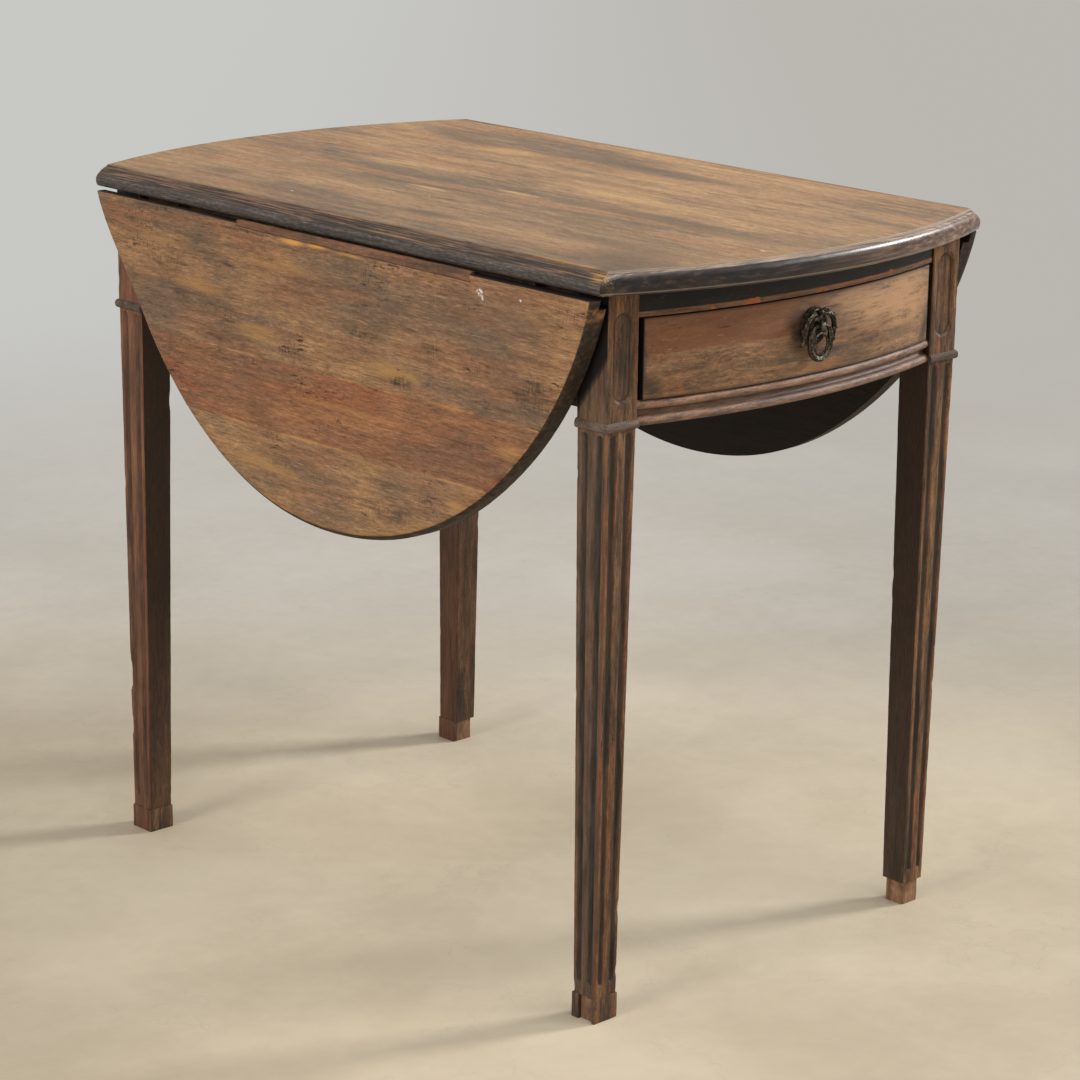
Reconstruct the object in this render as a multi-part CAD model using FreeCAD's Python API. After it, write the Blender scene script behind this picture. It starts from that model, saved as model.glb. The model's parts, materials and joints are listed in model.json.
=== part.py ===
import FreeCAD, Part
import math
import os

# Pembroke table: a fixed top with bowed ends, two drop leaves on flap hinges, one drawer
# and four tapering, fluted legs.
# Millimetres. The origin is on the floor under the middle of the top and +Z is up.
# The drawer faces -Y, and the leaves hang on the -X and +X sides.

Vector = FreeCAD.Vector

# Fixed top
TABLE_HEIGHT = 750.0
TOP_WIDTH = 545.0            # nose to nose between the hinge sides
TOP_SIDE_LENGTH = 762.0      # straight hinge side, corner to corner
TOP_BOW = 58.0               # rise of each bowed end
TOP_THICKNESS = 22.0
TOP_GLUE_LINE_X = 4.0        # joint between the two boards
EDGE_FILLET = 1.6            # small step at the head of the edge moulding
EDGE_MOULD_HEIGHT = 10.0     # step and ovolo together
SIDE_MOULD_WIDTH = 13.0
END_MOULD_WIDTH = 8.0
SIDE_BOTTOM_CHAMFER = 2.0
END_BOTTOM_CHAMFER = 1.2

# Legs
LEG_INSET_END = 8.0          # corner of the top to the leg's outer end face
LEG_BLOCK = 40.0
LEG_TAPER_TOP = 39.0
LEG_TAPER_BOTTOM = 29.5
COLLAR_RADIUS = 2.8
COLLAR_LEAF_GAP = 1.3        # collar to the inner face of a hanging leaf
FLUTE_RADIUS_TOP = 4.0
FLUTE_RADIUS_BOTTOM = 3.0
FLUTE_OFFSET_TOP = 8.5       # flute to the middle of the face
FLUTE_OFFSET_BOTTOM = 6.4
FLUTE_TOP_MARGIN = 9.0
FLUTE_BOTTOM_MARGIN = 16.0
PANEL_WIDTH = 27.0           # round-ended sunk panel on the leg block
PANEL_HEIGHT = 88.0
PANEL_DEPTH = 2.5
PANEL_TOP_MARGIN = 20.0
FOOT_HEIGHT = 26.0
FOOT_CORE = 23.5
FACING_THICKNESS = 4.0
FACING_REMNANT = 5.5         # what is left of the broken facing on the front left foot

# Rails
RAIL_THICKNESS = 14.0
SIDE_RAIL_HEIGHT = 123.0
TENON_THICKNESS = 8.0
TENON_LENGTH = 18.0
TENON_SHOULDER = 5.0
TENON_WALL = 2.5             # wood between the tenons that meet in a leg
FRONT_BOW = 29.5             # rise of the bowed rails between the legs
RAIL_SETBACK = 2.0           # rail ends behind the faces of the legs
FRONT_RAIL_DEPTH = 33.0      # rail ends, front to back
TOP_RAIL_HEIGHT = 28.5
DRAWER_OPENING_HEIGHT = 80.0
BEAD_RADIUS = 4.5
BEAD_HOLLOW_HEIGHT = 6.5
BEAD_HOLLOW_DEPTH = 2.0
BACK_THICKNESS = 24.0
GLUE_BLOCK = 24.0
GLUE_BLOCK_LENGTH = 60.0
GLUE_BLOCK_X = 110.0
GLUE_LINE = 0.3

# Drawer
DRAWER_SIDE_GAP = 6.5        # drawer front to leg
DRAWER_TOP_GAP = 1.5
DRAWER_BOTTOM_GAP = 1.0
DRAWER_DEPTH = 520.0
DRAWER_FRONT_BACK = 18.0     # flat back of the drawer front behind the leg faces
DRAWER_SIDE_THICKNESS = 10.0
DRAWER_SIDE_DROP = 4.0       # top of the sides below the top of the front
DRAWER_BOTTOM_THICKNESS = 6.0
DRAWER_BOTTOM_RAISE = 8.5
GROOVE_DEPTH = 4.0
GROOVE_CLEARANCE = 0.2
TAIL_LENGTH = 11.0
TAIL_ROOT = 11.0
TAIL_FLARE = 2.0
TAIL_COUNT = 3
RUNNER_WIDTH = 23.5
RUNNER_HEIGHT = 14.0
GUIDE_HEIGHT = 20.0
RUNNING_GAP = 0.3
STOP_HEIGHT = 7.0
STOP_WIDTH = 24.0
STOP_X = 120.0

# Drawer pull
PULL_DROP = 29.0             # swing axis of the ring below the top of the drawer front
PLATE_WIDTH = 44.0
PLATE_HEIGHT = 46.0
PLATE_DROP = 4.5             # middle of the plate below the swing axis
PLATE_THICKNESS = 3.0
PLATE_RIM = 4.0
PLATE_SUNK = 1.3
EYE_STAND_OFF = 10.0         # swing axis in front of the drawer
EYE_RADIUS = 5.2
EYE_WIDTH = 7.0
POST_RADIUS = 3.4
STUD_RADIUS = 2.5
NUT_SIZE = 10.0
NUT_THICKNESS = 4.0
STUD_END = 1.5               # stud beyond its nut
RING_TUBE = 2.6
RING_SHOULDER = 8.0          # radius of the two bends beside the eye
RING_HALF_WIDTH = 12.5
RING_SIDE = 11.5

# Leaves and their hinges
LEAF_STAND_OUT = 5.5         # outer face of a hanging leaf beyond the nose of the top
LEAF_LIP_GAP = 4.0           # underside of the top to the lip of a hanging leaf
LEAF_RAISED_GAP = 1.5        # nose of the top to the lip of a raised leaf
LEAF_UNDER_CLEARANCE = 0.4   # raised hinge flaps below the underside of the top
LEAF_LIP_THICKNESS = 12.4
LEAF_REBATE = 10.0
LEAF_CORNER_INSET = 9.5      # corner of the top to the corner of the leaf's flat face
LEAF_DROP = 288.0            # depth of the flat face
LEAF_BEVEL_WIDTH = 11.0      # bevelled rim beyond the flat face
LEAF_BACK_FLAT = 2.0         # square edge left behind the bevel
LEAF_INNER_BOARD = 134.0
LEAF_MIDDLE_BOARD = 73.0
PATCH_FRONT_Y = -214.0
PATCH_BACK_Y = 137.0
PATCH_DEPTH = 12.0
PATCH_PROUD = 0.6
PATCH_FILL = 5.0             # height of the patch in the rebate
HINGE_INSET = 111.0          # corner of the top to the middle of a hinge
HINGE_LENGTH = 50.0
HINGE_MIDDLE = 18.0          # knuckle of the leaf flap
HINGE_KNUCKLE_GAP = 0.4
HINGE_PLATE = 2.0
HINGE_TOP_FLAP = 39.0
HINGE_LEAF_FLAP = 54.0
KNUCKLE_RADIUS = 4.0
PIN_RADIUS = 2.0
PIN_CLEARANCE = 0.05
POCKET_CLEARANCE = 0.6
POCKET_INNER = 14.0          # hinge axis to the inner wall of its pocket
POCKET_OUTER = 5.0
SCREW_RADIUS = 1.8
SCREW_HEAD_RADIUS = 3.6
SCREW_LENGTH = 13.0
SCREW_CLEARANCE = 0.05
TOP_SCREW_LENGTH = 40.0
TOP_SCREW_Y = (-240.0, 0.0, 240.0)

# Fly brackets
FLY_HEIGHT = 86.0
FLY_PIVOT_Y = 75.0
FLY_LENGTH = 145.0
FLY_TIP_HEIGHT = 36.0
FLY_STRAIGHT = 55.0          # full-depth stretch beside the knuckle
FLY_CLEARANCE = 0.4
FLY_TIP_GAP = 2.0
FLY_FINGERS = 5
FLY_PIN_RADIUS = 3.0

# Places worked out from the sizes above
ARC_MIDDLE = 1.0 - math.cos(math.radians(45.0))
UNDERSIDE = TABLE_HEIGHT - TOP_THICKNESS
TOP_NOSE_X = TOP_WIDTH / 2
TOP_CORNER_Y = TOP_SIDE_LENGTH / 2
TOP_END_Y = TOP_CORNER_Y + TOP_BOW
TOP_END_RADIUS = (TOP_NOSE_X ** 2 + TOP_BOW ** 2) / (2 * TOP_BOW)

LEAF_OUTER_X = TOP_NOSE_X + LEAF_STAND_OUT
LEAF_THICKNESS = TOP_THICKNESS + LEAF_UNDER_CLEARANCE
LEAF_INNER_X = LEAF_OUTER_X - LEAF_THICKNESS
LEAF_LIP_X = LEAF_OUTER_X - LEAF_LIP_THICKNESS
LEAF_TOP = UNDERSIDE - LEAF_LIP_GAP
LEAF_HALF_CHORD = TOP_CORNER_Y - LEAF_CORNER_INSET
LEAF_FACE_RADIUS = (LEAF_HALF_CHORD ** 2 + LEAF_DROP ** 2) / (2 * LEAF_DROP)
LEAF_MIDDLE_Z = LEAF_TOP - LEAF_DROP + LEAF_FACE_RADIUS
AXIS_DEPTH = (LEAF_STAND_OUT + LEAF_LIP_GAP + TOP_THICKNESS - LEAF_RAISED_GAP) / 2
AXIS_X = LEAF_OUTER_X - AXIS_DEPTH
AXIS_Z = TABLE_HEIGHT - AXIS_DEPTH
FLAP_X = (LEAF_INNER_X - HINGE_PLATE, LEAF_INNER_X)
HINGE_Y = (HINGE_INSET - TOP_CORNER_Y, TOP_CORNER_Y - HINGE_INSET)
REBATE_FLOOR = LEAF_TOP - LEAF_REBATE

LEG_OUTER_X = LEAF_INNER_X - COLLAR_LEAF_GAP - COLLAR_RADIUS
LEG_OUTER_Y = TOP_CORNER_Y - LEG_INSET_END
LEG_INNER_X = LEG_OUTER_X - LEG_BLOCK
LEG_INNER_Y = LEG_OUTER_Y - LEG_BLOCK
LEG_X = LEG_OUTER_X - LEG_BLOCK / 2
LEG_Y = LEG_OUTER_Y - LEG_BLOCK / 2

RAIL_END_Y = LEG_OUTER_Y - RAIL_SETBACK
RAIL_BACK_Y = RAIL_END_Y - FRONT_RAIL_DEPTH
BOW_Y = RAIL_END_Y + FRONT_BOW
BOW_RADIUS = (LEG_INNER_X ** 2 + FRONT_BOW ** 2) / (2 * FRONT_BOW)
TOP_RAIL_BOTTOM = UNDERSIDE - TOP_RAIL_HEIGHT
BOTTOM_RAIL_TOP = TOP_RAIL_BOTTOM - DRAWER_OPENING_HEIGHT
BEAD_RAIL_HEIGHT = 4 * BEAD_RADIUS + BEAD_HOLLOW_HEIGHT
BOTTOM_RAIL_BOTTOM = BOTTOM_RAIL_TOP - BEAD_RAIL_HEIGHT
SIDE_RAIL_BOTTOM = UNDERSIDE - SIDE_RAIL_HEIGHT
SIDE_RAIL_X = (LEG_INNER_X, LEG_INNER_X + RAIL_THICKNESS)
FLY_X = (SIDE_RAIL_X[1], SIDE_RAIL_X[1] + RAIL_THICKNESS)

# The collars carry on the line of the lower bead of the rails
COLLAR_HEIGHT = BOTTOM_RAIL_BOTTOM + BEAD_RADIUS
COLLAR_BOTTOM = COLLAR_HEIGHT - COLLAR_RADIUS

DRAWER_HALF = LEG_INNER_X - DRAWER_SIDE_GAP
DRAWER_TOP = TOP_RAIL_BOTTOM - DRAWER_TOP_GAP
DRAWER_FOOT = BOTTOM_RAIL_TOP + DRAWER_BOTTOM_GAP
DRAWER_SIDE_TOP = DRAWER_TOP - DRAWER_SIDE_DROP
DRAWER_INNER = DRAWER_HALF - DRAWER_SIDE_THICKNESS
DRAWER_FRONT_Y = -LEG_OUTER_Y + DRAWER_FRONT_BACK
DRAWER_BACK_Y = -BOW_Y + DRAWER_DEPTH
DRAWER_FLOOR_LOW = DRAWER_FOOT + DRAWER_BOTTOM_RAISE
DRAWER_FLOOR = (DRAWER_FLOOR_LOW, DRAWER_FLOOR_LOW + DRAWER_BOTTOM_THICKNESS)
RUNNER_TOP = DRAWER_FOOT - RUNNING_GAP
KICKER_BOTTOM = TOP_RAIL_BOTTOM
PULL_HEIGHT = DRAWER_TOP - PULL_DROP

FLY_AXIS_X = (FLY_X[0] + FLY_X[1]) / 2
FLY_RADIUS = RAIL_THICKNESS / 2 - RUNNING_GAP
FLY_TOP = UNDERSIDE - 2 * RUNNING_GAP
FLY_BOTTOM = UNDERSIDE - FLY_HEIGHT
FLY_TIP_Y = FLY_PIVOT_Y - FLY_LENGTH

# A length that surely passes through any piece of the table
THROUGH = TOP_SIDE_LENGTH + TOP_WIDTH


def box(x, y, z):
    """Block between two values on each axis."""
    corner = Vector(min(x), min(y), min(z))
    return Part.makeBox(abs(x[1] - x[0]), abs(y[1] - y[0]), abs(z[1] - z[0]), corner)


def rod(start, end, radius, end_radius=None):
    """Round bar between two points, tapering when it has a second radius."""
    line = end - start
    if end_radius is None:
        return Part.makeCylinder(radius, line.Length, start, line)
    return Part.makeCone(radius, end_radius, line.Length, start, line)


def joined(shapes):
    """One solid from pieces that meet."""
    return shapes[0].fuse(shapes[1:]).removeSplitter()


def outline(start, *steps):
    """Flat face: a step that is a point draws a line, a pair draws an arc through its first point."""
    edges = []
    here = start
    for step in steps + (start,):
        if isinstance(step, tuple):
            edges.append(Part.Arc(here, step[0], step[1]).toShape())
            here = step[1]
        elif here.distanceToPoint(step) > 0.0:
            edges.append(Part.LineSegment(here, step).toShape())
            here = step
    return Part.Face(Part.Wire(edges))


def mirror_x(shape):
    return shape.mirror(Vector(0, 0, 0), Vector(1, 0, 0))


def mirror_y(shape):
    return shape.mirror(Vector(0, 0, 0), Vector(0, 1, 0))


def at_corner(shape, side, end):
    """Move a piece of the front right corner to another corner."""
    if side == "left":
        shape = mirror_x(shape)
    if end == "back":
        shape = mirror_y(shape)
    return shape


def group(shapes):
    """Separate solids kept in one node."""
    return Part.makeCompound(shapes)


def wood_screw(head, direction, length, slack=0.0):
    """Countersunk screw with its head in the surface; slack makes the hole for it."""
    sink = SCREW_HEAD_RADIUS - SCREW_RADIUS
    cone = Part.makeCone(SCREW_HEAD_RADIUS + slack, SCREW_RADIUS + slack, sink, head, direction)
    shank = Part.makeCylinder(SCREW_RADIUS + slack, length + slack, head, direction)
    return joined([cone, shank])


# Fixed top

def moulding_waste(width, place):
    """Waste outside the step and ovolo of an edge; place turns (inward, down) into a point."""
    ovolo = EDGE_MOULD_HEIGHT - EDGE_FILLET
    crown = place(ARC_MIDDLE * width, EDGE_FILLET + ARC_MIDDLE * ovolo)
    return outline(
        place(width, -EDGE_MOULD_HEIGHT),
        place(width, EDGE_FILLET),
        (crown, place(0.0, EDGE_MOULD_HEIGHT)),
        place(-width, EDGE_MOULD_HEIGHT),
        place(-width, -EDGE_MOULD_HEIGHT),
    )


def chamfer_waste(size, place):
    """Waste of the small chamfer under an edge."""
    return outline(
        place(0.0, TOP_THICKNESS - size),
        place(-size, TOP_THICKNESS - size),
        place(-size, TOP_THICKNESS + size),
        place(size, TOP_THICKNESS),
    )


def side_place(inward, down):
    return Vector(TOP_NOSE_X - inward, -THROUGH / 2, TABLE_HEIGHT - down)


def end_place(inward, down):
    return Vector(0.0, -TOP_END_Y + inward, TABLE_HEIGHT - down)


def whole_top():
    """Moulded top before it is split into boards and let in for the hinges."""
    corner = Vector(TOP_NOSE_X, -TOP_CORNER_Y, UNDERSIDE)
    plan = outline(
        corner,
        Vector(TOP_NOSE_X, TOP_CORNER_Y, UNDERSIDE),
        (Vector(0, TOP_END_Y, UNDERSIDE), Vector(-TOP_NOSE_X, TOP_CORNER_Y, UNDERSIDE)),
        Vector(-TOP_NOSE_X, -TOP_CORNER_Y, UNDERSIDE),
        (Vector(0, -TOP_END_Y, UNDERSIDE), corner),
    )
    top = plan.extrude(Vector(0, 0, TOP_THICKNESS))
    bow_middle = Vector(0, TOP_END_RADIUS - TOP_END_Y, 0)
    waste = []
    for face in (
        moulding_waste(SIDE_MOULD_WIDTH, side_place),
        chamfer_waste(SIDE_BOTTOM_CHAMFER, side_place),
    ):
        strip = face.extrude(Vector(0, THROUGH, 0))
        waste += [strip, mirror_x(strip)]
    for face in (
        moulding_waste(END_MOULD_WIDTH, end_place),
        chamfer_waste(END_BOTTOM_CHAMFER, end_place),
    ):
        ring = face.revolve(bow_middle, Vector(0, 0, 1), 360.0)
        waste += [ring, mirror_y(ring)]
    for piece in waste:
        top = top.cut(piece)
    return top


def hinge_pocket(y):
    """Space in the underside of the top for the knuckles and the let-in flap of a right hinge."""
    half = HINGE_LENGTH / 2 + POCKET_CLEARANCE
    knuckles = box(
        (AXIS_X - POCKET_INNER, AXIS_X + POCKET_OUTER),
        (y - half, y + half),
        (UNDERSIDE, AXIS_Z + KNUCKLE_RADIUS + POCKET_CLEARANCE),
    )
    flap = box(
        (AXIS_X - HINGE_TOP_FLAP, AXIS_X),
        (y - HINGE_LENGTH / 2, y + HINGE_LENGTH / 2),
        (UNDERSIDE, UNDERSIDE + HINGE_PLATE),
    )
    return joined([knuckles, flap])


def top_boards():
    top = whole_top()
    waste = []
    for y in HINGE_Y:
        pocket = hinge_pocket(y)
        waste += [pocket, mirror_x(pocket)]
    waste += hinge_top_screws(SCREW_CLEARANCE) + top_screws(SCREW_CLEARANCE)
    top = top.cut(waste)
    across = (-THROUGH, THROUGH)
    left = top.common(box((-THROUGH, TOP_GLUE_LINE_X), across, across))
    right = top.common(box((TOP_GLUE_LINE_X, THROUGH), across, across))
    return left, right


def top_screws(slack=0.0):
    """Screws up through the kickers into the top."""
    screws = []
    for side in (-1, 1):
        for y in TOP_SCREW_Y:
            head = Vector(side * (LEG_INNER_X - RUNNER_WIDTH / 2), y, KICKER_BOTTOM)
            screws.append(wood_screw(head, Vector(0, 0, 1), TOP_SCREW_LENGTH, slack))
    return screws


# Legs

def square(size, z):
    """Square outline about the axis of the front right leg."""
    half = size / 2
    corners = [(-half, -half), (half, -half), (half, half), (-half, half)]
    points = [Vector(LEG_X + x, -LEG_Y + y, z) for x, y in corners]
    return Part.makePolygon(points + points[:1])


def flute(to_face, along_face, top_offset, bottom_offset):
    """One tapering flute on an outer face of the front right leg."""
    ends = []
    for z, size, radius, offset in (
        (COLLAR_BOTTOM - FLUTE_TOP_MARGIN, LEG_TAPER_TOP, FLUTE_RADIUS_TOP, top_offset),
        (FOOT_HEIGHT + FLUTE_BOTTOM_MARGIN, LEG_TAPER_BOTTOM, FLUTE_RADIUS_BOTTOM, bottom_offset),
    ):
        middle = Vector(LEG_X, -LEG_Y, z)
        point = middle + to_face * (size / 2 + radius / 2) + along_face * offset
        ends.append((point, radius))
    (top, top_radius), (bottom, bottom_radius) = ends
    groove = rod(top, bottom, top_radius, bottom_radius)
    return [groove, Part.makeSphere(top_radius, top), Part.makeSphere(bottom_radius, bottom)]


def sunk_panel():
    """Round-ended recess on the end face of the leg block."""
    radius = PANEL_WIDTH / 2
    high = UNDERSIDE - PANEL_TOP_MARGIN - radius
    low = UNDERSIDE - PANEL_TOP_MARGIN - PANEL_HEIGHT + radius
    depth = (-LEG_OUTER_Y - PANEL_DEPTH, -LEG_OUTER_Y + PANEL_DEPTH)
    field = box((LEG_X - radius, LEG_X + radius), depth, (low, high))
    ends = [rod(Vector(LEG_X, depth[0], z), Vector(LEG_X, depth[1], z), radius) for z in (low, high)]
    return joined([field] + ends)


def leg():
    """Front right leg without its mortises."""
    block = box(
        (LEG_INNER_X, LEG_OUTER_X),
        (-LEG_OUTER_Y, -LEG_INNER_Y),
        (COLLAR_BOTTOM, UNDERSIDE),
    )
    sections = [square(LEG_TAPER_TOP, COLLAR_BOTTOM), square(LEG_TAPER_BOTTOM, FOOT_HEIGHT)]
    taper = Part.makeLoft(sections, True, True)
    core = Part.Face(square(FOOT_CORE, 0.0)).extrude(Vector(0, 0, FOOT_HEIGHT))
    shape = joined([block, taper, core]).cut(sunk_panel())
    for to_face, along_face in ((Vector(1, 0, 0), Vector(0, 1, 0)), (Vector(0, -1, 0), Vector(1, 0, 0))):
        for way in (-1, 1):
            for waste in flute(to_face, along_face, way * FLUTE_OFFSET_TOP, way * FLUTE_OFFSET_BOTTOM):
                shape = shape.cut(waste)
    return shape


def collar():
    """Two mitred half-round strips on the outer faces of the front right leg."""
    radius = COLLAR_RADIUS
    corner_x = LEG_OUTER_X
    corner_y = -LEG_OUTER_Y
    outer_x = corner_x + radius
    outer_y = corner_y - radius
    z = COLLAR_HEIGHT
    end_bead = rod(Vector(LEG_INNER_X, corner_y, z), Vector(outer_x, corner_y, z), radius)
    side_bead = rod(Vector(corner_x, -LEG_INNER_Y, z), Vector(corner_x, outer_y, z), radius)
    low = z - radius
    end_plan = outline(
        Vector(LEG_INNER_X, corner_y, low),
        Vector(corner_x, corner_y, low),
        Vector(outer_x, outer_y, low),
        Vector(LEG_INNER_X, outer_y, low),
    )
    side_plan = outline(
        Vector(corner_x, -LEG_INNER_Y, low),
        Vector(corner_x, corner_y, low),
        Vector(outer_x, outer_y, low),
        Vector(outer_x, -LEG_INNER_Y, low),
    )
    up = Vector(0, 0, 2 * radius)
    return group([end_bead.common(end_plan.extrude(up)), side_bead.common(side_plan.extrude(up))])


def foot_facing(face):
    """One facing of the front right foot, named by the face of the leg that it covers."""
    core = FOOT_CORE / 2
    outer = core + FACING_THICKNESS
    z = (0.0, FOOT_HEIGHT)
    full = (LEG_X - outer, LEG_X + outer)
    between = (-LEG_Y - core, -LEG_Y + core)
    if face == "outer_end":
        return box(full, (-LEG_Y - outer, -LEG_Y - core), z)
    if face == "inner_end":
        return box(full, (-LEG_Y + core, -LEG_Y + outer), z)
    if face == "inner_side":
        return box((LEG_X - outer, LEG_X - core), between, z)
    if face == "broken_outer_side":
        between = (between[1] - FACING_REMNANT, between[1])
    return box((LEG_X + core, LEG_X + outer), between, z)


def foot_facings(side, end, faces):
    return group([at_corner(foot_facing(face), side, end) for face in faces])


# Rails

def bow_cylinder(radius, z):
    """Upright cylinder whose front follows the bow of the rails."""
    middle_y = BOW_RADIUS - BOW_Y
    return Part.makeCylinder(radius, z[1] - z[0], Vector(0, middle_y, z[0]))


def end_tenons(y, z):
    """Tenons at the two ends of a front rail."""
    tenons = []
    for side in (-1, 1):
        x = (side * LEG_INNER_X, side * (LEG_INNER_X + TENON_LENGTH))
        tenons.append(box(x, y, (z[0] + TENON_SHOULDER, z[1] - TENON_SHOULDER)))
    return tenons


def front_tenon_y():
    middle = -RAIL_END_Y + FRONT_RAIL_DEPTH / 2
    return (middle - TENON_THICKNESS / 2, middle + TENON_THICKNESS / 2)


def front_top_rail():
    z = (TOP_RAIL_BOTTOM, UNDERSIDE)
    blank = box((-LEG_INNER_X, LEG_INNER_X), (-THROUGH, -RAIL_BACK_Y), z)
    bowed = blank.common(bow_cylinder(BOW_RADIUS, z))
    return joined([bowed] + end_tenons(front_tenon_y(), z))


def front_bottom_rail():
    """Bowed rail with two beads and a hollow between them."""
    low = BOTTOM_RAIL_BOTTOM
    nose = -BOW_Y
    root = nose + BEAD_RADIUS
    hollow = 2 * BEAD_RADIUS
    second = hollow + BEAD_HOLLOW_HEIGHT

    def point(y, up):
        return Vector(0, y, low + up)

    profile = outline(
        point(BOW_RADIUS - BOW_Y, 0.0),
        point(root, 0.0),
        (point(nose, BEAD_RADIUS), point(root, hollow)),
        (point(root + BEAD_HOLLOW_DEPTH, (hollow + second) / 2), point(root, second)),
        (point(nose, second + BEAD_RADIUS), point(root, BEAD_RAIL_HEIGHT)),
        point(BOW_RADIUS - BOW_Y, BEAD_RAIL_HEIGHT),
    )
    bowed = profile.revolve(Vector(0, BOW_RADIUS - BOW_Y, 0), Vector(0, 0, 1), 360.0)
    z = (low, BOTTOM_RAIL_TOP)
    rail = bowed.common(box((-LEG_INNER_X, LEG_INNER_X), (-THROUGH, -RAIL_BACK_Y), z))
    return joined([rail] + end_tenons(front_tenon_y(), z))


def back_panel():
    """Bowed board that closes the back end."""
    z = (BOTTOM_RAIL_TOP, UNDERSIDE)
    ring = bow_cylinder(BOW_RADIUS, z).cut(bow_cylinder(BOW_RADIUS - BACK_THICKNESS, z))
    board = ring.common(box((-LEG_INNER_X, LEG_INNER_X), (-THROUGH, 0.0), z))
    return mirror_y(joined([board] + end_tenons(back_tenon_y(), z)))


def back_tenon_y():
    middle = -RAIL_END_Y + BACK_THICKNESS / 2
    return (middle - TENON_THICKNESS / 2, middle + TENON_THICKNESS / 2)


def glue_blocks():
    """Blocks rubbed into the corner of the back panel and the top."""
    z = (UNDERSIDE - GLUE_BLOCK, UNDERSIDE)
    inner_radius = BOW_RADIUS - BACK_THICKNESS - GLUE_LINE
    half = GLUE_BLOCK_LENGTH / 2
    blocks = []
    for x in (-GLUE_BLOCK_X, GLUE_BLOCK_X):
        face_y = BOW_RADIUS - BOW_Y - math.sqrt(inner_radius ** 2 - x ** 2)
        block = box((x - half, x + half), (-THROUGH, face_y + GLUE_BLOCK), z)
        block = block.common(bow_cylinder(inner_radius, z))
        blocks.append(mirror_y(block))
    return group(blocks)


def side_rail():
    """Right side rail with its tenons."""
    z = (SIDE_RAIL_BOTTOM, UNDERSIDE)
    middle = (SIDE_RAIL_X[0] + SIDE_RAIL_X[1]) / 2
    tenon_end = -front_tenon_y()[1] - TENON_WALL
    tenon = box(
        (middle - TENON_THICKNESS / 2, middle + TENON_THICKNESS / 2),
        (-tenon_end, tenon_end),
        (z[0] + TENON_SHOULDER, z[1] - TENON_SHOULDER),
    )
    return joined([box(SIDE_RAIL_X, (-LEG_INNER_Y, LEG_INNER_Y), z), tenon])


# Drawer and what it runs on

def runner_x():
    return (LEG_INNER_X - RUNNER_WIDTH, LEG_INNER_X)


def drawer_runner():
    return box(runner_x(), (-RAIL_BACK_Y, RAIL_BACK_Y), (RUNNER_TOP - RUNNER_HEIGHT, RUNNER_TOP))


def drawer_guide():
    x = (DRAWER_HALF + RUNNING_GAP, LEG_INNER_X)
    return box(x, (-LEG_INNER_Y, LEG_INNER_Y), (RUNNER_TOP, RUNNER_TOP + GUIDE_HEIGHT))


def drawer_kicker():
    bar = box(runner_x(), (-RAIL_BACK_Y, LEG_INNER_Y), (KICKER_BOTTOM, UNDERSIDE))
    return bar.cut(top_screws(SCREW_CLEARANCE))


def drawer_stops():
    """Blocks on the front bottom rail that the back of the drawer front meets."""
    stops = []
    for x in (-STOP_X, STOP_X):
        stops.append(box(
            (x - STOP_WIDTH / 2, x + STOP_WIDTH / 2),
            (DRAWER_FRONT_Y + RUNNING_GAP, -RAIL_BACK_Y),
            (BOTTOM_RAIL_TOP, BOTTOM_RAIL_TOP + STOP_HEIGHT),
        ))
    return group(stops)


def dovetails():
    """Tails of the right drawer side, let into the drawer front."""
    tails = []
    pitch = (DRAWER_SIDE_TOP - DRAWER_FOOT) / TAIL_COUNT
    tip_y = DRAWER_FRONT_Y - TAIL_LENGTH
    for number in range(TAIL_COUNT):
        z = DRAWER_FOOT + (number + 0.5) * pitch
        root = TAIL_ROOT / 2
        tip = root + TAIL_FLARE
        face = outline(
            Vector(DRAWER_INNER, DRAWER_FRONT_Y, z - root),
            Vector(DRAWER_INNER, tip_y, z - tip),
            Vector(DRAWER_INNER, tip_y, z + tip),
            Vector(DRAWER_INNER, DRAWER_FRONT_Y, z + root),
        )
        tails.append(face.extrude(Vector(DRAWER_SIDE_THICKNESS, 0, 0)))
    return tails


def floor_groove_z():
    return (DRAWER_FLOOR[0] - GROOVE_CLEARANCE, DRAWER_FLOOR[1] + GROOVE_CLEARANCE)


def drawer_front():
    z = (DRAWER_FOOT, DRAWER_TOP)
    blank = box((-DRAWER_HALF, DRAWER_HALF), (-THROUGH, DRAWER_FRONT_Y), z)
    front = blank.common(bow_cylinder(BOW_RADIUS, z))
    groove = box(
        (-DRAWER_INNER, DRAWER_INNER),
        (DRAWER_FRONT_Y - GROOVE_DEPTH, DRAWER_FRONT_Y),
        floor_groove_z(),
    )
    stud_hole = rod(Vector(0, -THROUGH, PULL_HEIGHT), Vector(0, 0, PULL_HEIGHT), STUD_RADIUS + PIN_CLEARANCE)
    tails = dovetails()
    return front.cut(tails + [mirror_x(tail) for tail in tails] + [groove, stud_hole])


def drawer_back_y():
    return (DRAWER_BACK_Y - DRAWER_SIDE_THICKNESS, DRAWER_BACK_Y)


def drawer_back():
    reach = DRAWER_INNER + GROOVE_DEPTH
    return box((-reach, reach), drawer_back_y(), (floor_groove_z()[1], DRAWER_SIDE_TOP))


def drawer_side():
    """Right side of the drawer box."""
    board = box((DRAWER_INNER, DRAWER_HALF), (DRAWER_FRONT_Y, DRAWER_BACK_Y), (DRAWER_FOOT, DRAWER_SIDE_TOP))
    groove = box(
        (DRAWER_INNER, DRAWER_INNER + GROOVE_DEPTH),
        (DRAWER_FRONT_Y, DRAWER_BACK_Y),
        floor_groove_z(),
    )
    return joined([board] + dovetails()).cut([groove, drawer_back()])


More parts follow.
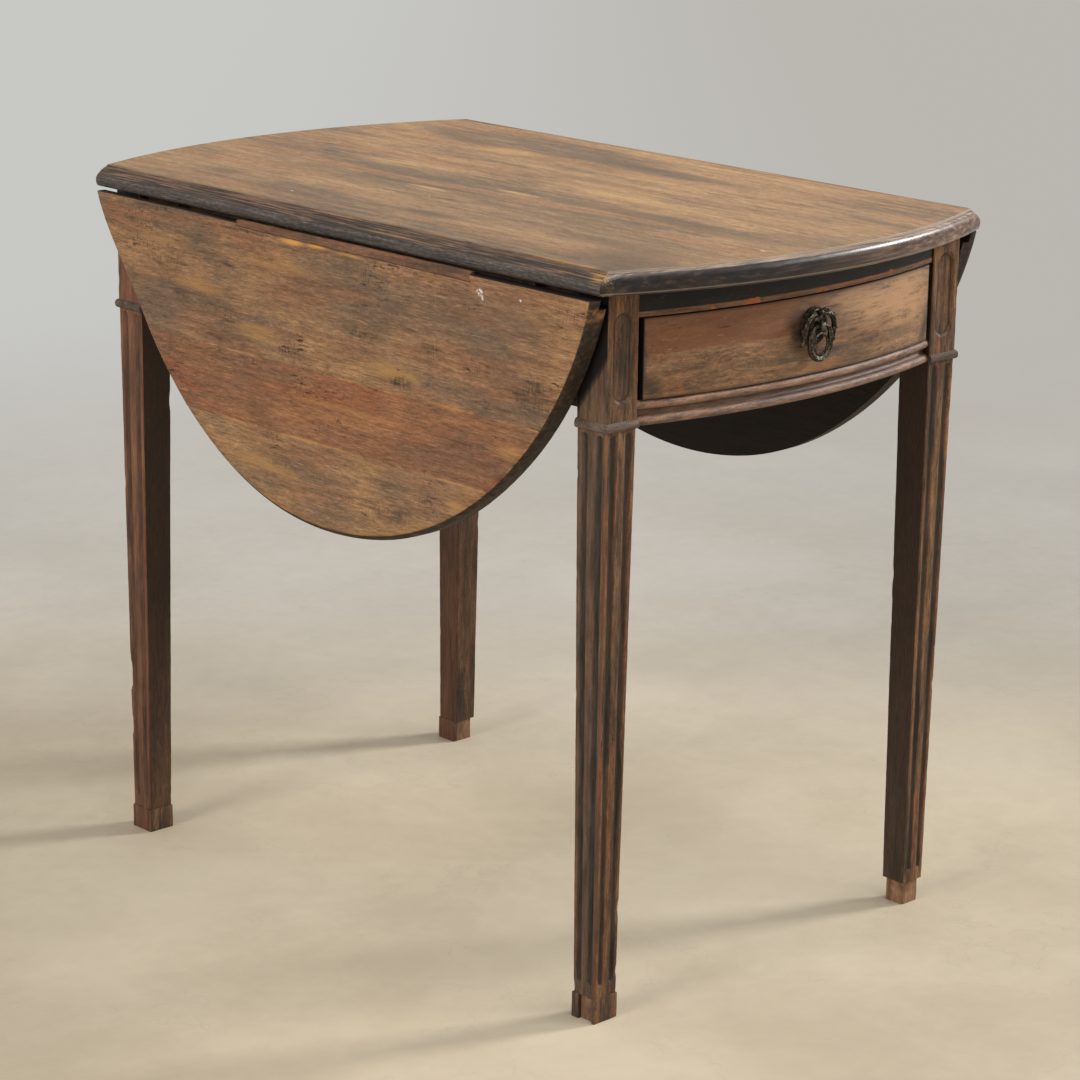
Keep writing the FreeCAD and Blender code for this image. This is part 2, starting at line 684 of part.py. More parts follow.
def drawer_bottom():
    reach = DRAWER_INNER + GROOVE_DEPTH - GROOVE_CLEARANCE
    panel = box((-reach, reach), (DRAWER_FRONT_Y, DRAWER_BACK_Y), DRAWER_FLOOR)
    tongue_reach = DRAWER_INNER - GROOVE_CLEARANCE
    tongue_y = DRAWER_FRONT_Y - GROOVE_DEPTH + GROOVE_CLEARANCE
    tongue = box((-tongue_reach, tongue_reach), (tongue_y, DRAWER_FRONT_Y), DRAWER_FLOOR)
    return joined([panel, tongue])


# Drawer pull

def oval(width, height, y, depth):
    """Upright oval plate, its back at y and its front towards -Y."""
    middle = Vector(0, y, PULL_HEIGHT - PLATE_DROP)
    top = middle + Vector(0, 0, height / 2)
    side = middle + Vector(width / 2, 0, 0)
    edge = Part.Ellipse(top, side, middle).toShape()
    return Part.Face(Part.Wire([edge])).extrude(Vector(0, -depth, 0))


def pull_backplate():
    plate = oval(PLATE_WIDTH, PLATE_HEIGHT, -BOW_Y, PLATE_THICKNESS)
    field_y = -BOW_Y - PLATE_THICKNESS + PLATE_SUNK
    field = oval(PLATE_WIDTH - 2 * PLATE_RIM, PLATE_HEIGHT - 2 * PLATE_RIM, field_y, PLATE_THICKNESS)
    hole = rod(Vector(0, -THROUGH, PULL_HEIGHT), Vector(0, 0, PULL_HEIGHT), STUD_RADIUS + PIN_CLEARANCE)
    return plate.cut([field, hole])


def pull_post():
    """Eye that the ring swings in, with the stud that passes through the drawer front."""
    eye_y = -BOW_Y - EYE_STAND_OFF
    shoulder_y = -BOW_Y - PLATE_THICKNESS + PLATE_SUNK
    stud_y = DRAWER_FRONT_Y + NUT_THICKNESS + STUD_END
    half = EYE_WIDTH / 2
    eye = rod(Vector(-half, eye_y, PULL_HEIGHT), Vector(half, eye_y, PULL_HEIGHT), EYE_RADIUS)
    post = rod(Vector(0, eye_y, PULL_HEIGHT), Vector(0, shoulder_y, PULL_HEIGHT), POST_RADIUS)
    stud = rod(Vector(0, shoulder_y, PULL_HEIGHT), Vector(0, stud_y, PULL_HEIGHT), STUD_RADIUS)
    hole_radius = RING_TUBE + PIN_CLEARANCE
    hole = rod(Vector(-THROUGH, eye_y, PULL_HEIGHT), Vector(THROUGH, eye_y, PULL_HEIGHT), hole_radius)
    return joined([eye, post, stud]).cut(hole)


def pull_nut():
    half = NUT_SIZE / 2
    nut = box(
        (-half, half),
        (DRAWER_FRONT_Y, DRAWER_FRONT_Y + NUT_THICKNESS),
        (PULL_HEIGHT - half, PULL_HEIGHT + half),
    )
    hole = rod(Vector(0, -THROUGH, PULL_HEIGHT), Vector(0, 0, PULL_HEIGHT), STUD_RADIUS + PIN_CLEARANCE)
    return nut.cut(hole)


def bend(middle, start, angle):
    """Quarter or half turn of the ring's bar about an axis along Y."""
    away = start - middle
    section = Part.Face(Part.Wire([Part.Circle(start, away.cross(Vector(0, 1, 0)), RING_TUBE).toShape()]))
    return section.revolve(middle, Vector(0, 1, 0), angle)


def pull_ring():
    """Hanging oval ring with a straight stretch at the top for the eye."""
    y = -BOW_Y - EYE_STAND_OFF
    side = RING_HALF_WIDTH
    shoulder_z = PULL_HEIGHT - RING_SHOULDER
    low_z = shoulder_z - RING_SIDE
    bar_x = side - RING_SHOULDER
    bar = rod(Vector(-bar_x, y, PULL_HEIGHT), Vector(bar_x, y, PULL_HEIGHT), RING_TUBE)
    pieces = [bar]
    for way in (-1, 1):
        middle = Vector(way * bar_x, y, shoulder_z)
        pieces.append(bend(middle, Vector(way * bar_x, y, PULL_HEIGHT), way * 90.0))
        pieces.append(rod(Vector(way * side, y, shoulder_z), Vector(way * side, y, low_z), RING_TUBE))
    pieces.append(bend(Vector(0, y, low_z), Vector(side, y, low_z), 180.0))
    return joined(pieces)


# Hinges and leaves, made on the right and mirrored for the left

def knuckle(y_range):
    return rod(Vector(AXIS_X, y_range[0], AXIS_Z), Vector(AXIS_X, y_range[1], AXIS_Z), KNUCKLE_RADIUS)


def pin_bore(y):
    half = HINGE_LENGTH
    return rod(Vector(AXIS_X, y - half, AXIS_Z), Vector(AXIS_X, y + half, AXIS_Z), PIN_RADIUS + PIN_CLEARANCE)


def hinge_top_flap(y):
    """Flap let into the underside of the top, with the two outer knuckles."""
    half = HINGE_LENGTH / 2
    inner = HINGE_MIDDLE / 2 + HINGE_KNUCKLE_GAP
    plate = box((AXIS_X - HINGE_TOP_FLAP, AXIS_X), (y - half, y + half), (UNDERSIDE, UNDERSIDE + HINGE_PLATE))
    notch = box((AXIS_X - POCKET_INNER, THROUGH), (y - inner, y + inner), (UNDERSIDE, TABLE_HEIGHT))
    pieces = [plate]
    for span in ((y - half, y - inner), (y + inner, y + half)):
        pieces.append(knuckle(span))
        pieces.append(box((AXIS_X - KNUCKLE_RADIUS, AXIS_X + KNUCKLE_RADIUS), span, (UNDERSIDE, AXIS_Z)))
    return joined(pieces).cut([notch, pin_bore(y)])


def hinge_leaf_flap(y):
    """Flap on the inner face of the hanging leaf, with the middle knuckle."""
    half = HINGE_LENGTH / 2
    middle = (y - HINGE_MIDDLE / 2, y + HINGE_MIDDLE / 2)
    knuckle_z = (AXIS_Z - KNUCKLE_RADIUS, AXIS_Z + KNUCKLE_RADIUS)
    plate = box(FLAP_X, (y - half, y + half), (REBATE_FLOOR - HINGE_LEAF_FLAP, REBATE_FLOOR))
    strap = box(FLAP_X, middle, (REBATE_FLOOR, knuckle_z[1]))
    arm = box((FLAP_X[0], AXIS_X), middle, knuckle_z)
    return joined([plate, strap, arm, knuckle(middle)]).cut(pin_bore(y))


def hinge_pin(y):
    half = HINGE_LENGTH / 2
    return rod(Vector(AXIS_X, y - half, AXIS_Z), Vector(AXIS_X, y + half, AXIS_Z), PIN_RADIUS)


def hinge_top_screws(slack=0.0):
    """Screws of all the flaps under the top."""
    screws = []
    for side in (-1, 1):
        for y in HINGE_Y:
            for x, offset in flap_screw_places(HINGE_TOP_FLAP - POCKET_INNER):
                head = Vector(side * (AXIS_X - HINGE_TOP_FLAP + x), y + offset, UNDERSIDE)
                screws.append(wood_screw(head, Vector(0, 0, 1), SCREW_LENGTH, slack))
    return screws


def flap_screw_places(depth):
    """Three places on a flap: distance from its free edge and offset along the hinge."""
    margin = 2 * SCREW_HEAD_RADIUS
    spread = HINGE_LENGTH / 2 - margin
    return ((margin, -spread), (margin, spread), (depth - margin, 0.0))


def leaf_hinge_screws(slack=0.0):
    """Screws of the right leaf's flaps."""
    screws = []
    for y in HINGE_Y:
        for up, offset in flap_screw_places(HINGE_LEAF_FLAP):
            head = Vector(FLAP_X[0], y + offset, REBATE_FLOOR - HINGE_LEAF_FLAP + up)
            screws.append(wood_screw(head, Vector(1, 0, 0), SCREW_LENGTH, slack))
    return screws


def leaf_blank():
    """Hanging right leaf: a segment of a turned disc with a bevelled rim, rebated along its upper edge."""
    rim = LEAF_FACE_RADIUS + LEAF_BEVEL_WIDTH

    def place(radius, depth):
        return Vector(LEAF_OUTER_X - depth, 0, LEAF_MIDDLE_Z + radius)

    section = outline(
        place(0.0, 0.0),
        place(LEAF_FACE_RADIUS, 0.0),
        place(rim, LEAF_THICKNESS - LEAF_BACK_FLAT),
        place(rim, LEAF_THICKNESS),
        place(0.0, LEAF_THICKNESS),
    )
    disc = section.revolve(place(0.0, 0.0), Vector(1, 0, 0), 360.0)
    across = (-THROUGH, THROUGH)
    above = box(across, across, (LEAF_TOP, LEAF_TOP + THROUGH))
    rebate = box((LEAF_INNER_X, LEAF_LIP_X), across, (REBATE_FLOOR, LEAF_TOP))
    return disc.cut([above, rebate])


def edge_patch():
    """Strip let into the hinge edge of one leaf, filling part of the rebate."""
    y = (PATCH_FRONT_Y, PATCH_BACK_Y)
    low = LEAF_TOP - PATCH_DEPTH
    lip = box((LEAF_LIP_X, LEAF_OUTER_X), y, (low, LEAF_TOP + PATCH_PROUD))
    fill = box((LEAF_INNER_X, LEAF_LIP_X), y, (low, REBATE_FLOOR + PATCH_FILL))
    return joined([lip, fill])


def leaf_boards(patched):
    """Three boards of the right leaf, from the hinge edge down."""
    waste = leaf_hinge_screws(SCREW_CLEARANCE)
    if patched:
        waste.append(edge_patch())
    leaf = leaf_blank().cut(waste)
    first = LEAF_TOP - LEAF_INNER_BOARD
    second = first - LEAF_MIDDLE_BOARD
    across = (-THROUGH, THROUGH)
    bands = ((first, THROUGH), (second, first), (0.0, second))
    return [leaf.common(box(across, across, band)) for band in bands]


# Fly brackets, made on the right and mirrored for the left

def finger_levels(first):
    """Heights of every second knuckle finger, starting from the given one."""
    height = (FLY_TOP - FLY_BOTTOM) / FLY_FINGERS
    levels = []
    for number in range(first, FLY_FINGERS, 2):
        levels.append((FLY_BOTTOM + number * height, FLY_BOTTOM + (number + 1) * height))
    return levels


def fly_knuckle(z):
    return rod(Vector(FLY_AXIS_X, FLY_PIVOT_Y, z[0]), Vector(FLY_AXIS_X, FLY_PIVOT_Y, z[1]), FLY_RADIUS)


def fly_bore():
    radius = FLY_PIN_RADIUS + PIN_CLEARANCE
    return rod(Vector(FLY_AXIS_X, FLY_PIVOT_Y, 0), Vector(FLY_AXIS_X, FLY_PIVOT_Y, UNDERSIDE), radius)


def fly_rail():
    """Two fixed stretches of the fly rail; the back one carries every other knuckle finger."""
    z = (FLY_BOTTOM, UNDERSIDE)
    front = box(FLY_X, (-LEG_INNER_Y, FLY_TIP_Y - FLY_TIP_GAP), z)
    room = FLY_PIVOT_Y + FLY_RADIUS + FLY_CLEARANCE
    pieces = [box(FLY_X, (room, LEG_INNER_Y), z)]
    for level in finger_levels(0):
        pieces.append(fly_knuckle(level))
        web = (FLY_AXIS_X - FLY_RADIUS, FLY_AXIS_X + FLY_RADIUS)
        pieces.append(box(web, (FLY_PIVOT_Y, room), level))
    return group([front, joined(pieces).cut(fly_bore())])


def fly_bracket():
    """Swinging bracket with an arched lower edge."""
    x = (FLY_AXIS_X - FLY_RADIUS, FLY_AXIS_X + FLY_RADIUS)
    start = FLY_PIVOT_Y - FLY_RADIUS - FLY_CLEARANCE
    straight = start - FLY_STRAIGHT
    tip_z = FLY_TOP - FLY_TIP_HEIGHT
    arch_y = straight - ARC_MIDDLE * (straight - FLY_TIP_Y)
    arch_z = tip_z - ARC_MIDDLE * (tip_z - FLY_BOTTOM)
    side = outline(
        Vector(x[0], start, FLY_TOP),
        Vector(x[0], FLY_TIP_Y, FLY_TOP),
        Vector(x[0], FLY_TIP_Y, tip_z),
        (Vector(x[0], arch_y, arch_z), Vector(x[0], straight, FLY_BOTTOM)),
        Vector(x[0], start, FLY_BOTTOM),
    )
    pieces = [side.extrude(Vector(x[1] - x[0], 0, 0))]
    for low, high in finger_levels(1):
        level = (low + RUNNING_GAP, high - RUNNING_GAP)
        pieces.append(fly_knuckle(level))
        pieces.append(box(x, (start, FLY_PIVOT_Y), level))
    return joined(pieces).cut(fly_bore())


def fly_pin():
    return rod(
        Vector(FLY_AXIS_X, FLY_PIVOT_Y, FLY_BOTTOM),
        Vector(FLY_AXIS_X, FLY_PIVOT_Y, UNDERSIDE),
        FLY_PIN_RADIUS,
    )


# All nodes

def both_sides(name, shape, nodes):
    """Add a right-hand piece and its mirror image."""
    nodes[name + "_right"] = shape
    nodes[name + "_left"] = mirror_x(shape)


def leg_nodes(rails, nodes):
    """The four legs with their mortises, collars and foot facings."""
    plain_leg = leg()
    plain_collar = collar()
    for end in ("front", "back"):
        for side in ("left", "right"):
            corner = end + "_" + side
            nodes["leg_" + corner] = at_corner(plain_leg, side, end).cut(rails)
            nodes["collar_" + corner] = at_corner(plain_collar, side, end)
    nodes["foot_facings_front_left"] = foot_facings(
        "left", "front", ("outer_end", "inner_end", "inner_side", "broken_outer_side"))
    nodes["foot_facings_back_left"] = foot_facings(
        "left", "back", ("outer_end", "inner_end", "inner_side", "outer_side"))
    nodes["foot_facings_back_right"] = foot_facings("right", "back", ("outer_end", "inner_side"))


def rail_nodes(nodes):
    """Rails, and what is fixed to them; returns the rails that are tenoned into the legs."""
    nodes["front_top_rail"] = front_top_rail()
    nodes["front_bottom_rail"] = front_bottom_rail()
    nodes["back_panel"] = back_panel()
    nodes["back_bottom_rail"] = mirror_y(nodes["front_bottom_rail"])
    both_sides("side_rail", side_rail(), nodes)
    tenoned = list(nodes.values())
    nodes["glue_blocks"] = glue_blocks()
    both_sides("fly_rail", fly_rail(), nodes)
    both_sides("fly_pin", fly_pin(), nodes)
    both_sides("drawer_runner", drawer_runner(), nodes)
    both_sides("drawer_guide", drawer_guide(), nodes)
    both_sides("drawer_kicker", drawer_kicker(), nodes)
    nodes["drawer_stops"] = drawer_stops()
    return tenoned


def hinge_nodes(nodes):
    """Hinge pieces that stay with the fixed top."""
    flaps = [hinge_top_flap(y).cut(hinge_top_screws(SCREW_CLEARANCE)) for y in HINGE_Y]
    both_sides("hinge_top_flaps", group(flaps), nodes)
    both_sides("hinge_pins", group([hinge_pin(y) for y in HINGE_Y]), nodes)
    nodes["hinge_top_screws"] = group(hinge_top_screws())


def leaf_nodes(side, nodes):
    """Boards and hinge pieces of one leaf."""
    def place(shape):
        return mirror_x(shape) if side == "left" else shape

    name = side + "_leaf_"
    patched = side == "left"
    boards = leaf_boards(patched)
    for board, title in zip(boards, ("inner_board", "middle_board", "outer_board")):
        nodes[name + title] = place(board)
    if patched:
        nodes[name + "edge_patch"] = place(edge_patch())
    flaps = [hinge_leaf_flap(y).cut(leaf_hinge_screws(SCREW_CLEARANCE)) for y in HINGE_Y]
    nodes[name + "hinge_flaps"] = place(group(flaps))
    nodes[name + "hinge_screws"] = place(group(leaf_hinge_screws()))


def drawer_nodes(nodes):
    nodes["drawer_front"] = drawer_front()
    both_sides("drawer_side", drawer_side(), nodes)
    nodes["drawer_back"] = drawer_back()
    nodes["drawer_bottom"] = drawer_bottom()
    nodes["pull_backplate"] = pull_backplate()
    nodes["pull_post"] = pull_post()
    nodes["pull_nut"] = pull_nut()
    nodes["pull_ring"] = pull_ring()


def table_nodes():
    nodes = {}
    tenoned = rail_nodes(nodes)
    leg_nodes(tenoned, nodes)
    nodes["top_board_left"], nodes["top_board_right"] = top_boards()
    nodes["top_screws"] = group(top_screws())
    hinge_nodes(nodes)
    for side in ("left", "right"):
        leaf_nodes(side, nodes)
    drawer_nodes(nodes)
    both_sides("fly_bracket", fly_bracket(), nodes)
    return nodes


os.makedirs("parts", exist_ok=True)
for node_name, node_shape in table_nodes().items():
    node_shape.exportStep("parts/" + node_name + ".step")
    print(node_name, len(node_shape.Solids), round(node_shape.Volume))
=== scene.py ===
import json
import math

import bmesh
import bpy
from mathutils import Matrix, Vector, noise

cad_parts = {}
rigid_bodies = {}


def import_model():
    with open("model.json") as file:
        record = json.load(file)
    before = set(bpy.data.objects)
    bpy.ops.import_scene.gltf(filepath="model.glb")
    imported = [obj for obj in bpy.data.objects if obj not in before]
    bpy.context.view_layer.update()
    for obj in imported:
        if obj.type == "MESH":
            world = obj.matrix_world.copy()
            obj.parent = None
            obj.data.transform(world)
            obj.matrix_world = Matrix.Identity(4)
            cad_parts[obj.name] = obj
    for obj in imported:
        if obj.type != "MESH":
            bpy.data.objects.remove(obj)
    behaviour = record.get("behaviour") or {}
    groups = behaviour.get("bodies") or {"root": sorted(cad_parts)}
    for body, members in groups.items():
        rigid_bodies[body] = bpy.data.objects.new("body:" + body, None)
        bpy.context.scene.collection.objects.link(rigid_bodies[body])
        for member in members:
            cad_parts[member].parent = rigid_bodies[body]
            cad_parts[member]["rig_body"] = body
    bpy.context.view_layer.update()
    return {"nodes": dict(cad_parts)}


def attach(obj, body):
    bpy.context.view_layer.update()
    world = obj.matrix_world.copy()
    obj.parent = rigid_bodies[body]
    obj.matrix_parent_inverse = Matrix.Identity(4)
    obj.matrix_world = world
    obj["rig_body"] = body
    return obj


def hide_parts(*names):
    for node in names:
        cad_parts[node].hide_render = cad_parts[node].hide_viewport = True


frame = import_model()

# Worn pembroke table. Metres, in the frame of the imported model: the drawer faces -Y,
# the leaves hang on -X and +X, and the floor is at zero height.

MM = 0.001

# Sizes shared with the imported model
TOP_Z = 0.750
UNDERSIDE = 0.728
NOSE_X = 0.2725
CORNER_Y = 0.381
BOW = 0.058
END_Y = CORNER_Y + BOW
END_RADIUS = (NOSE_X ** 2 + BOW ** 2) / (2 * BOW)
BOW_CENTRE = END_RADIUS - END_Y
GLUE_X = 0.004
SIDE_MOULD = 0.013
END_MOULD = 0.008
HINGE_Y = 0.270
LEG_X = 0.2315
LEG_Y = 0.353
COLLAR_LOW = 0.5967
FOOT_TOP = 0.026
PULL_Y = -0.4005
PULL_Z = 0.669
EYE_Y = PULL_Y - 0.010


# Colours and shader nodes

def tint(red, green, blue):
    """Linear colour of a screen colour given from 0 to 255."""
    def linear(value):
        share = value / 255.0
        return share / 12.92 if share <= 0.04045 else ((share + 0.055) / 1.055) ** 2.4
    return (linear(red), linear(green), linear(blue), 1.0)


class Nodes:
    """A node tree; sockets are filled in or linked as its nodes are made."""

    def __init__(self, tree):
        self.tree = tree
        tree.nodes.clear()

    def node(self, kind, sockets=None, **settings):
        """New node; its sockets are given by title or by number."""
        made = self.tree.nodes.new(kind)
        for name, value in settings.items():
            setattr(made, name, value)
        for title, value in (sockets or {}).items():
            if isinstance(value, bpy.types.NodeSocket):
                self.tree.links.new(value, made.inputs[title])
            else:
                made.inputs[title].default_value = value
        return made

    def math(self, operation, first, second=0.0):
        return self.node("ShaderNodeMath", {0: first, 1: second}, operation=operation).outputs[0]

    def seen(self):
        """One where the camera looks, straight, in a reflection or through glass; zero for rays of light."""
        rays = self.node("ShaderNodeLightPath").outputs
        either = self.math("MAXIMUM", rays["Is Camera Ray"], rays["Is Glossy Ray"])
        return self.math("MAXIMUM", either, rays["Is Transmission Ray"])

    def blend(self, share, first, second):
        """Surface between those of two nodes."""
        sockets = {0: share, 1: first.outputs[0], 2: second.outputs[0]}
        return self.node("ShaderNodeMixShader", sockets).outputs[0]


class Shader(Nodes):
    """One node material, painted step by step; places are in metres in the frame of the model, and
    colours are links or screen colours."""

    def __init__(self, name):
        self.material = bpy.data.materials.new(name)
        self.material.use_nodes = True
        super().__init__(self.material.node_tree)
        coordinates = self.node("ShaderNodeTexCoord").outputs
        self.place = coordinates["Object"]
        self.facing = coordinates["Normal"]
        self.x, self.y, self.z = self.axes(self.place)
        self.grain = self.place
        self.colour = None

    def times(self, first, second):
        return self.math("MULTIPLY", first, second)

    def gap(self, value, middle=0.0):
        """How far a value lies from a middle one, either way."""
        return self.math("ABSOLUTE", self.math("SUBTRACT", value, middle))

    def total(self, *shares, plus=0.0):
        """Weighted sum of values and a constant."""
        result = plus
        for value, weight in shares:
            sockets = {0: value, 1: weight, 2: result}
            result = self.node("ShaderNodeMath", sockets, operation="MULTIPLY_ADD").outputs[0]
        return result

    def vector(self, operation, first, second=(0.0, 0.0, 0.0)):
        made = self.node("ShaderNodeVectorMath", {0: first, 1: second}, operation=operation)
        return made.outputs["Value" if operation in ("LENGTH", "DOT_PRODUCT") else "Vector"]

    def axes(self, vector):
        return self.node("ShaderNodeSeparateXYZ", {0: vector}).outputs

    def joined(self, x, y=0.0, z=0.0):
        return self.node("ShaderNodeCombineXYZ", {0: x, 1: y, 2: z}).outputs[0]

    def noise(self, along, across, detail=3.0, roughness=0.5, distortion=0.0, place=None, output=0):
        """Noise with one scale along the grain and one across it; output 1 is its colour."""
        place = self.grain if place is None else place
        return self.node("ShaderNodeTexNoise", {
            "Vector": self.vector("MULTIPLY", place, (along, across, across)),
            "Scale": 1.0,
            "Detail": detail,
            "Roughness": roughness,
            "Distortion": distortion,
        }).outputs[output]

    def between(self, value, low, high, strength=1.0):
        """Smooth step from 0 at low to the strength at high."""
        sockets = {"Value": value, "From Min": low, "From Max": high, "To Max": strength}
        return self.node("ShaderNodeMapRange", sockets, interpolation_type="SMOOTHSTEP").outputs[0]

    def near(self, value, middle, outer, inner, strength=1.0):
        """Mask of a line: 0 at the outer distance from the middle value, the strength at the inner one."""
        return self.between(self.gap(value, middle), outer, inner, strength)

    def spot(self, place, along, across, half_length, half_width, strength=1.0, full=0.2):
        """Oval mask on a board; full is the share of its radius where it is at its strongest."""
        offset = self.vector("SUBTRACT", place, (along, across, 0.0))
        scaled = self.vector("MULTIPLY", offset, (1 / half_length, 1 / half_width, 0.0))
        return self.between(self.vector("LENGTH", scaled), 1.0, full, strength)

    def attribute(self, name):
        return self.node("ShaderNodeAttribute", attribute_name=name).outputs["Fac"]

    def mix(self, share, first, second, blend="MIX"):
        """Colour between two others."""
        sockets = {0: share}
        for number, colour in ((6, first), (7, second)):
            sockets[number] = tint(*colour) if isinstance(colour, tuple) else colour
        return self.node("ShaderNodeMix", sockets, data_type="RGBA", blend_type=blend).outputs[2]

    def ramp(self, value, *stops):
        """Colours by value; a stop holds the value and a screen colour."""
        made = self.node("ShaderNodeValToRGB", {0: value})
        points = made.color_ramp.elements
        for number, (position, *colour) in enumerate(stops):
            point = points[number] if number < 2 else points.new(position)
            point.position = position
            point.color = tint(*colour)
        return made.outputs[0]

    def shaded(self, colour, value, low, high, dark, light):
        """Colour times a factor that goes from dark to light as the value goes from low to high."""
        sockets = {"Value": value, "From Min": low, "From Max": high, "To Min": dark, "To Max": light}
        return self.mix(1.0, colour, self.node("ShaderNodeMapRange", sockets).outputs[0], "MULTIPLY")

    def shade(self, *levels):
        """Darken or lighten the colour by a value."""
        self.colour = self.shaded(self.colour, *levels)

    def paint(self, tone, *masks):
        """Lay a tone over the colour, where all masks let it through."""
        share = masks[0]
        for mask in masks[1:]:
            share = self.times(share, mask)
        self.colour = self.mix(share, self.colour, tone)

    def close(self, roughness, height, depth, specular=0.5, metallic=0.0):
        """Finish the material with one principled surface."""
        bump = self.node("ShaderNodeBump", {"Distance": depth, "Height": height})
        surface = self.node("ShaderNodeBsdfPrincipled", {
            "Base Color": self.colour,
            "Roughness": roughness,
            "Specular IOR Level": specular,
            "Metallic": metallic,
            "Normal": bump.outputs["Normal"],
        })
        self.node("ShaderNodeOutputMaterial", {"Surface": surface.outputs[0]})
        return self.material


# Wood

# Stains of the boards: place along and across the grain, half length, half width and strength
TOP_DARK = (
    (0.253, 0.157, 0.085, 0.026, 0.60),
    (-0.040, 0.170, 0.220, 0.024, 0.65),
    (0.301, -0.013, 0.024, 0.008, 0.90),
    (0.270, -0.184, 0.050, 0.017, 0.55),
    (-0.060, -0.188, 0.065, 0.016, 0.70),
    (-0.250, -0.030, 0.180, 0.022, 0.50),
    (-0.310, -0.160, 0.120, 0.024, 0.55),
    (0.120, -0.215, 0.100, 0.014, 0.45),
    (-0.350, -0.205, 0.090, 0.046, 0.75),
    (-0.020, 0.075, 0.120, 0.016, 0.40),
)
TOP_PALE = (
    (0.055, -0.089, 0.045, 0.007, 0.80),
    (-0.030, -0.040, 0.050, 0.008, 0.75),
    (0.205, -0.010, 0.085, 0.022, 0.45),
    (-0.110, 0.030, 0.160, 0.024, 0.55),
    (0.165, 0.135, 0.065, 0.022, 0.50),
    (-0.150, 0.225, 0.160, 0.024, 0.30),
    (0.090, -0.140, 0.120, 0.012, 0.40),
)
TOP_SPECKS = (
    (0.130, -0.210, 0.0030, 0.0016, 1.0),
    (-0.400, -0.075, 0.0050, 0.0018, 0.8),
    (0.020, -0.120, 0.0022, 0.0012, 0.9),
    (-0.150, 0.110, 0.0025, 0.0012, 0.8),
)
CORNER_WORN = (
    (-0.376, -0.265, 0.016, 0.012, 1.0),
    (-0.352, -0.256, 0.024, 0.005, 0.8),
    (-0.310, -0.257, 0.040, 0.004, 0.6),
)


class Wood(Shader):
    """Weathered wood: cloudy tones, short streaks and fine fibres."""

    def __init__(self, name, order, shift=(0.0, 0.0, 0.0)):
        """The order names the axes along the grain, across it, and into the wood."""
        super().__init__(name)
        turned = self.joined(*(getattr(self, letter) for letter in order))
        self.grain = self.vector("ADD", turned, shift)
        self.streaks = self.noise(17, 170, 6, 0.74)
        self.fibres = self.noise(75, 640, 4, 0.74)
        self.height = self.total((self.streaks, 0.6), (self.fibres, 0.4))

    def weather(self, grey, yellow, red, along, across, contrast=1.0):
        """Clouds of three tones, with a scale along the grain and one across it, and the grain over them."""
        clouds = self.noise(along, across, 4, 0.6)
        warmth = self.noise(along * 0.8, across * 1.7, 4, 0.6, 0.3)
        grit = self.noise(300, 520, 3, 0.7)
        self.colour = self.mix(self.between(clouds, 0.38, 0.62), grey, yellow)
        self.paint(red, self.between(warmth, 0.46, 0.66, 0.85))
        layers = ((self.streaks, 0.38, 0.36), (self.fibres, 0.40, 0.38), (grit, 0.16, 0.15))
        for marks, dark, light in layers:
            self.shade(marks, 0.32, 0.68, 1.0 - dark * contrast, 1.0 + light * contrast)

    def warped(self, along=0.03, across=0.008):
        """The grain place pushed about a little, for ragged edges of stains."""
        push = self.vector("SUBTRACT", self.noise(14, 60, output=1), (0.5, 0.5, 0.5))
        return self.vector("ADD", self.grain, self.vector("MULTIPLY", push, (along, across, 0.0)))

    def grainy(self, low, high, strength=1.0):
        """Mask of the streaks."""
        return self.between(self.streaks, low, high, strength)

    def streaky(self, dark, light, low=0.32, high=0.68):
        """Tone that runs from dark to light with the streaks."""
        return self.mix(self.grainy(low, high), dark, light)

    def stain(self, tone, ovals, place=None, through=None):
        """Ovals of one tone, listed one by one; the streaks show through them unless other masks are given.
        """
        place = self.grain if place is None else place
        through = [self.grainy(0.26, 0.56)] if through is None else through
        for oval in ovals:
            self.paint(tone, self.spot(place, *oval), *through)

    def scratch(self, dark, pale, amount=1.0):
        """Clusters of short dark dashes along and across the grain, and pale broken fibres."""
        cluster = self.between(self.noise(11, 20, 3, 0.6), 0.50, 0.66)
        dashes = self.between(self.noise(70, 400, 3, 0.65), 0.57, 0.66, amount)
        dashes = self.times(dashes, self.total((cluster, 0.8), plus=0.15))
        cross = self.times(self.between(self.noise(640, 120, 2), 0.58, 0.68, 0.45 * amount), cluster)
        self.paint(pale, self.between(self.noise(42, 520), 0.36, 0.27, 0.45 * amount))
        self.paint(dark, self.math("MAXIMUM", dashes, cross))

    def finish(self, roughness, depth, specular, *gloss):
        """Close the material, with the roughness and the bumps of the grain."""
        rough = self.total((self.streaks, 0.24), (self.fibres, 0.10), *gloss, plus=roughness)
        return self.close(rough, self.height, depth, specular)


# Heights on the edge of the top: where the plain band below the moulding of the sides begins, and the
# lower arris of the bowed ends
SIDE_BAND_Z = 0.7405
LOWER_ARRIS_Z = 0.7302


def top_edge_reach(wood):
    """How far a place lies past the inner line of the moulding, at the sides and at the ends, and a mask
    of the ends."""
    side = wood.math("SUBTRACT", wood.gap(wood.x), NOSE_X - SIDE_MOULD)
    lengthways = wood.math("ADD", wood.gap(wood.y), BOW_CENTRE)
    reach = wood.vector("LENGTH", wood.joined(wood.x, lengthways))
    end = wood.math("SUBTRACT", reach, END_RADIUS - END_MOULD)
    lead = wood.total((end, 1.0 / END_MOULD), (side, -1.0 / SIDE_MOULD))
    return side, end, wood.between(lead, -0.04, 0.04)


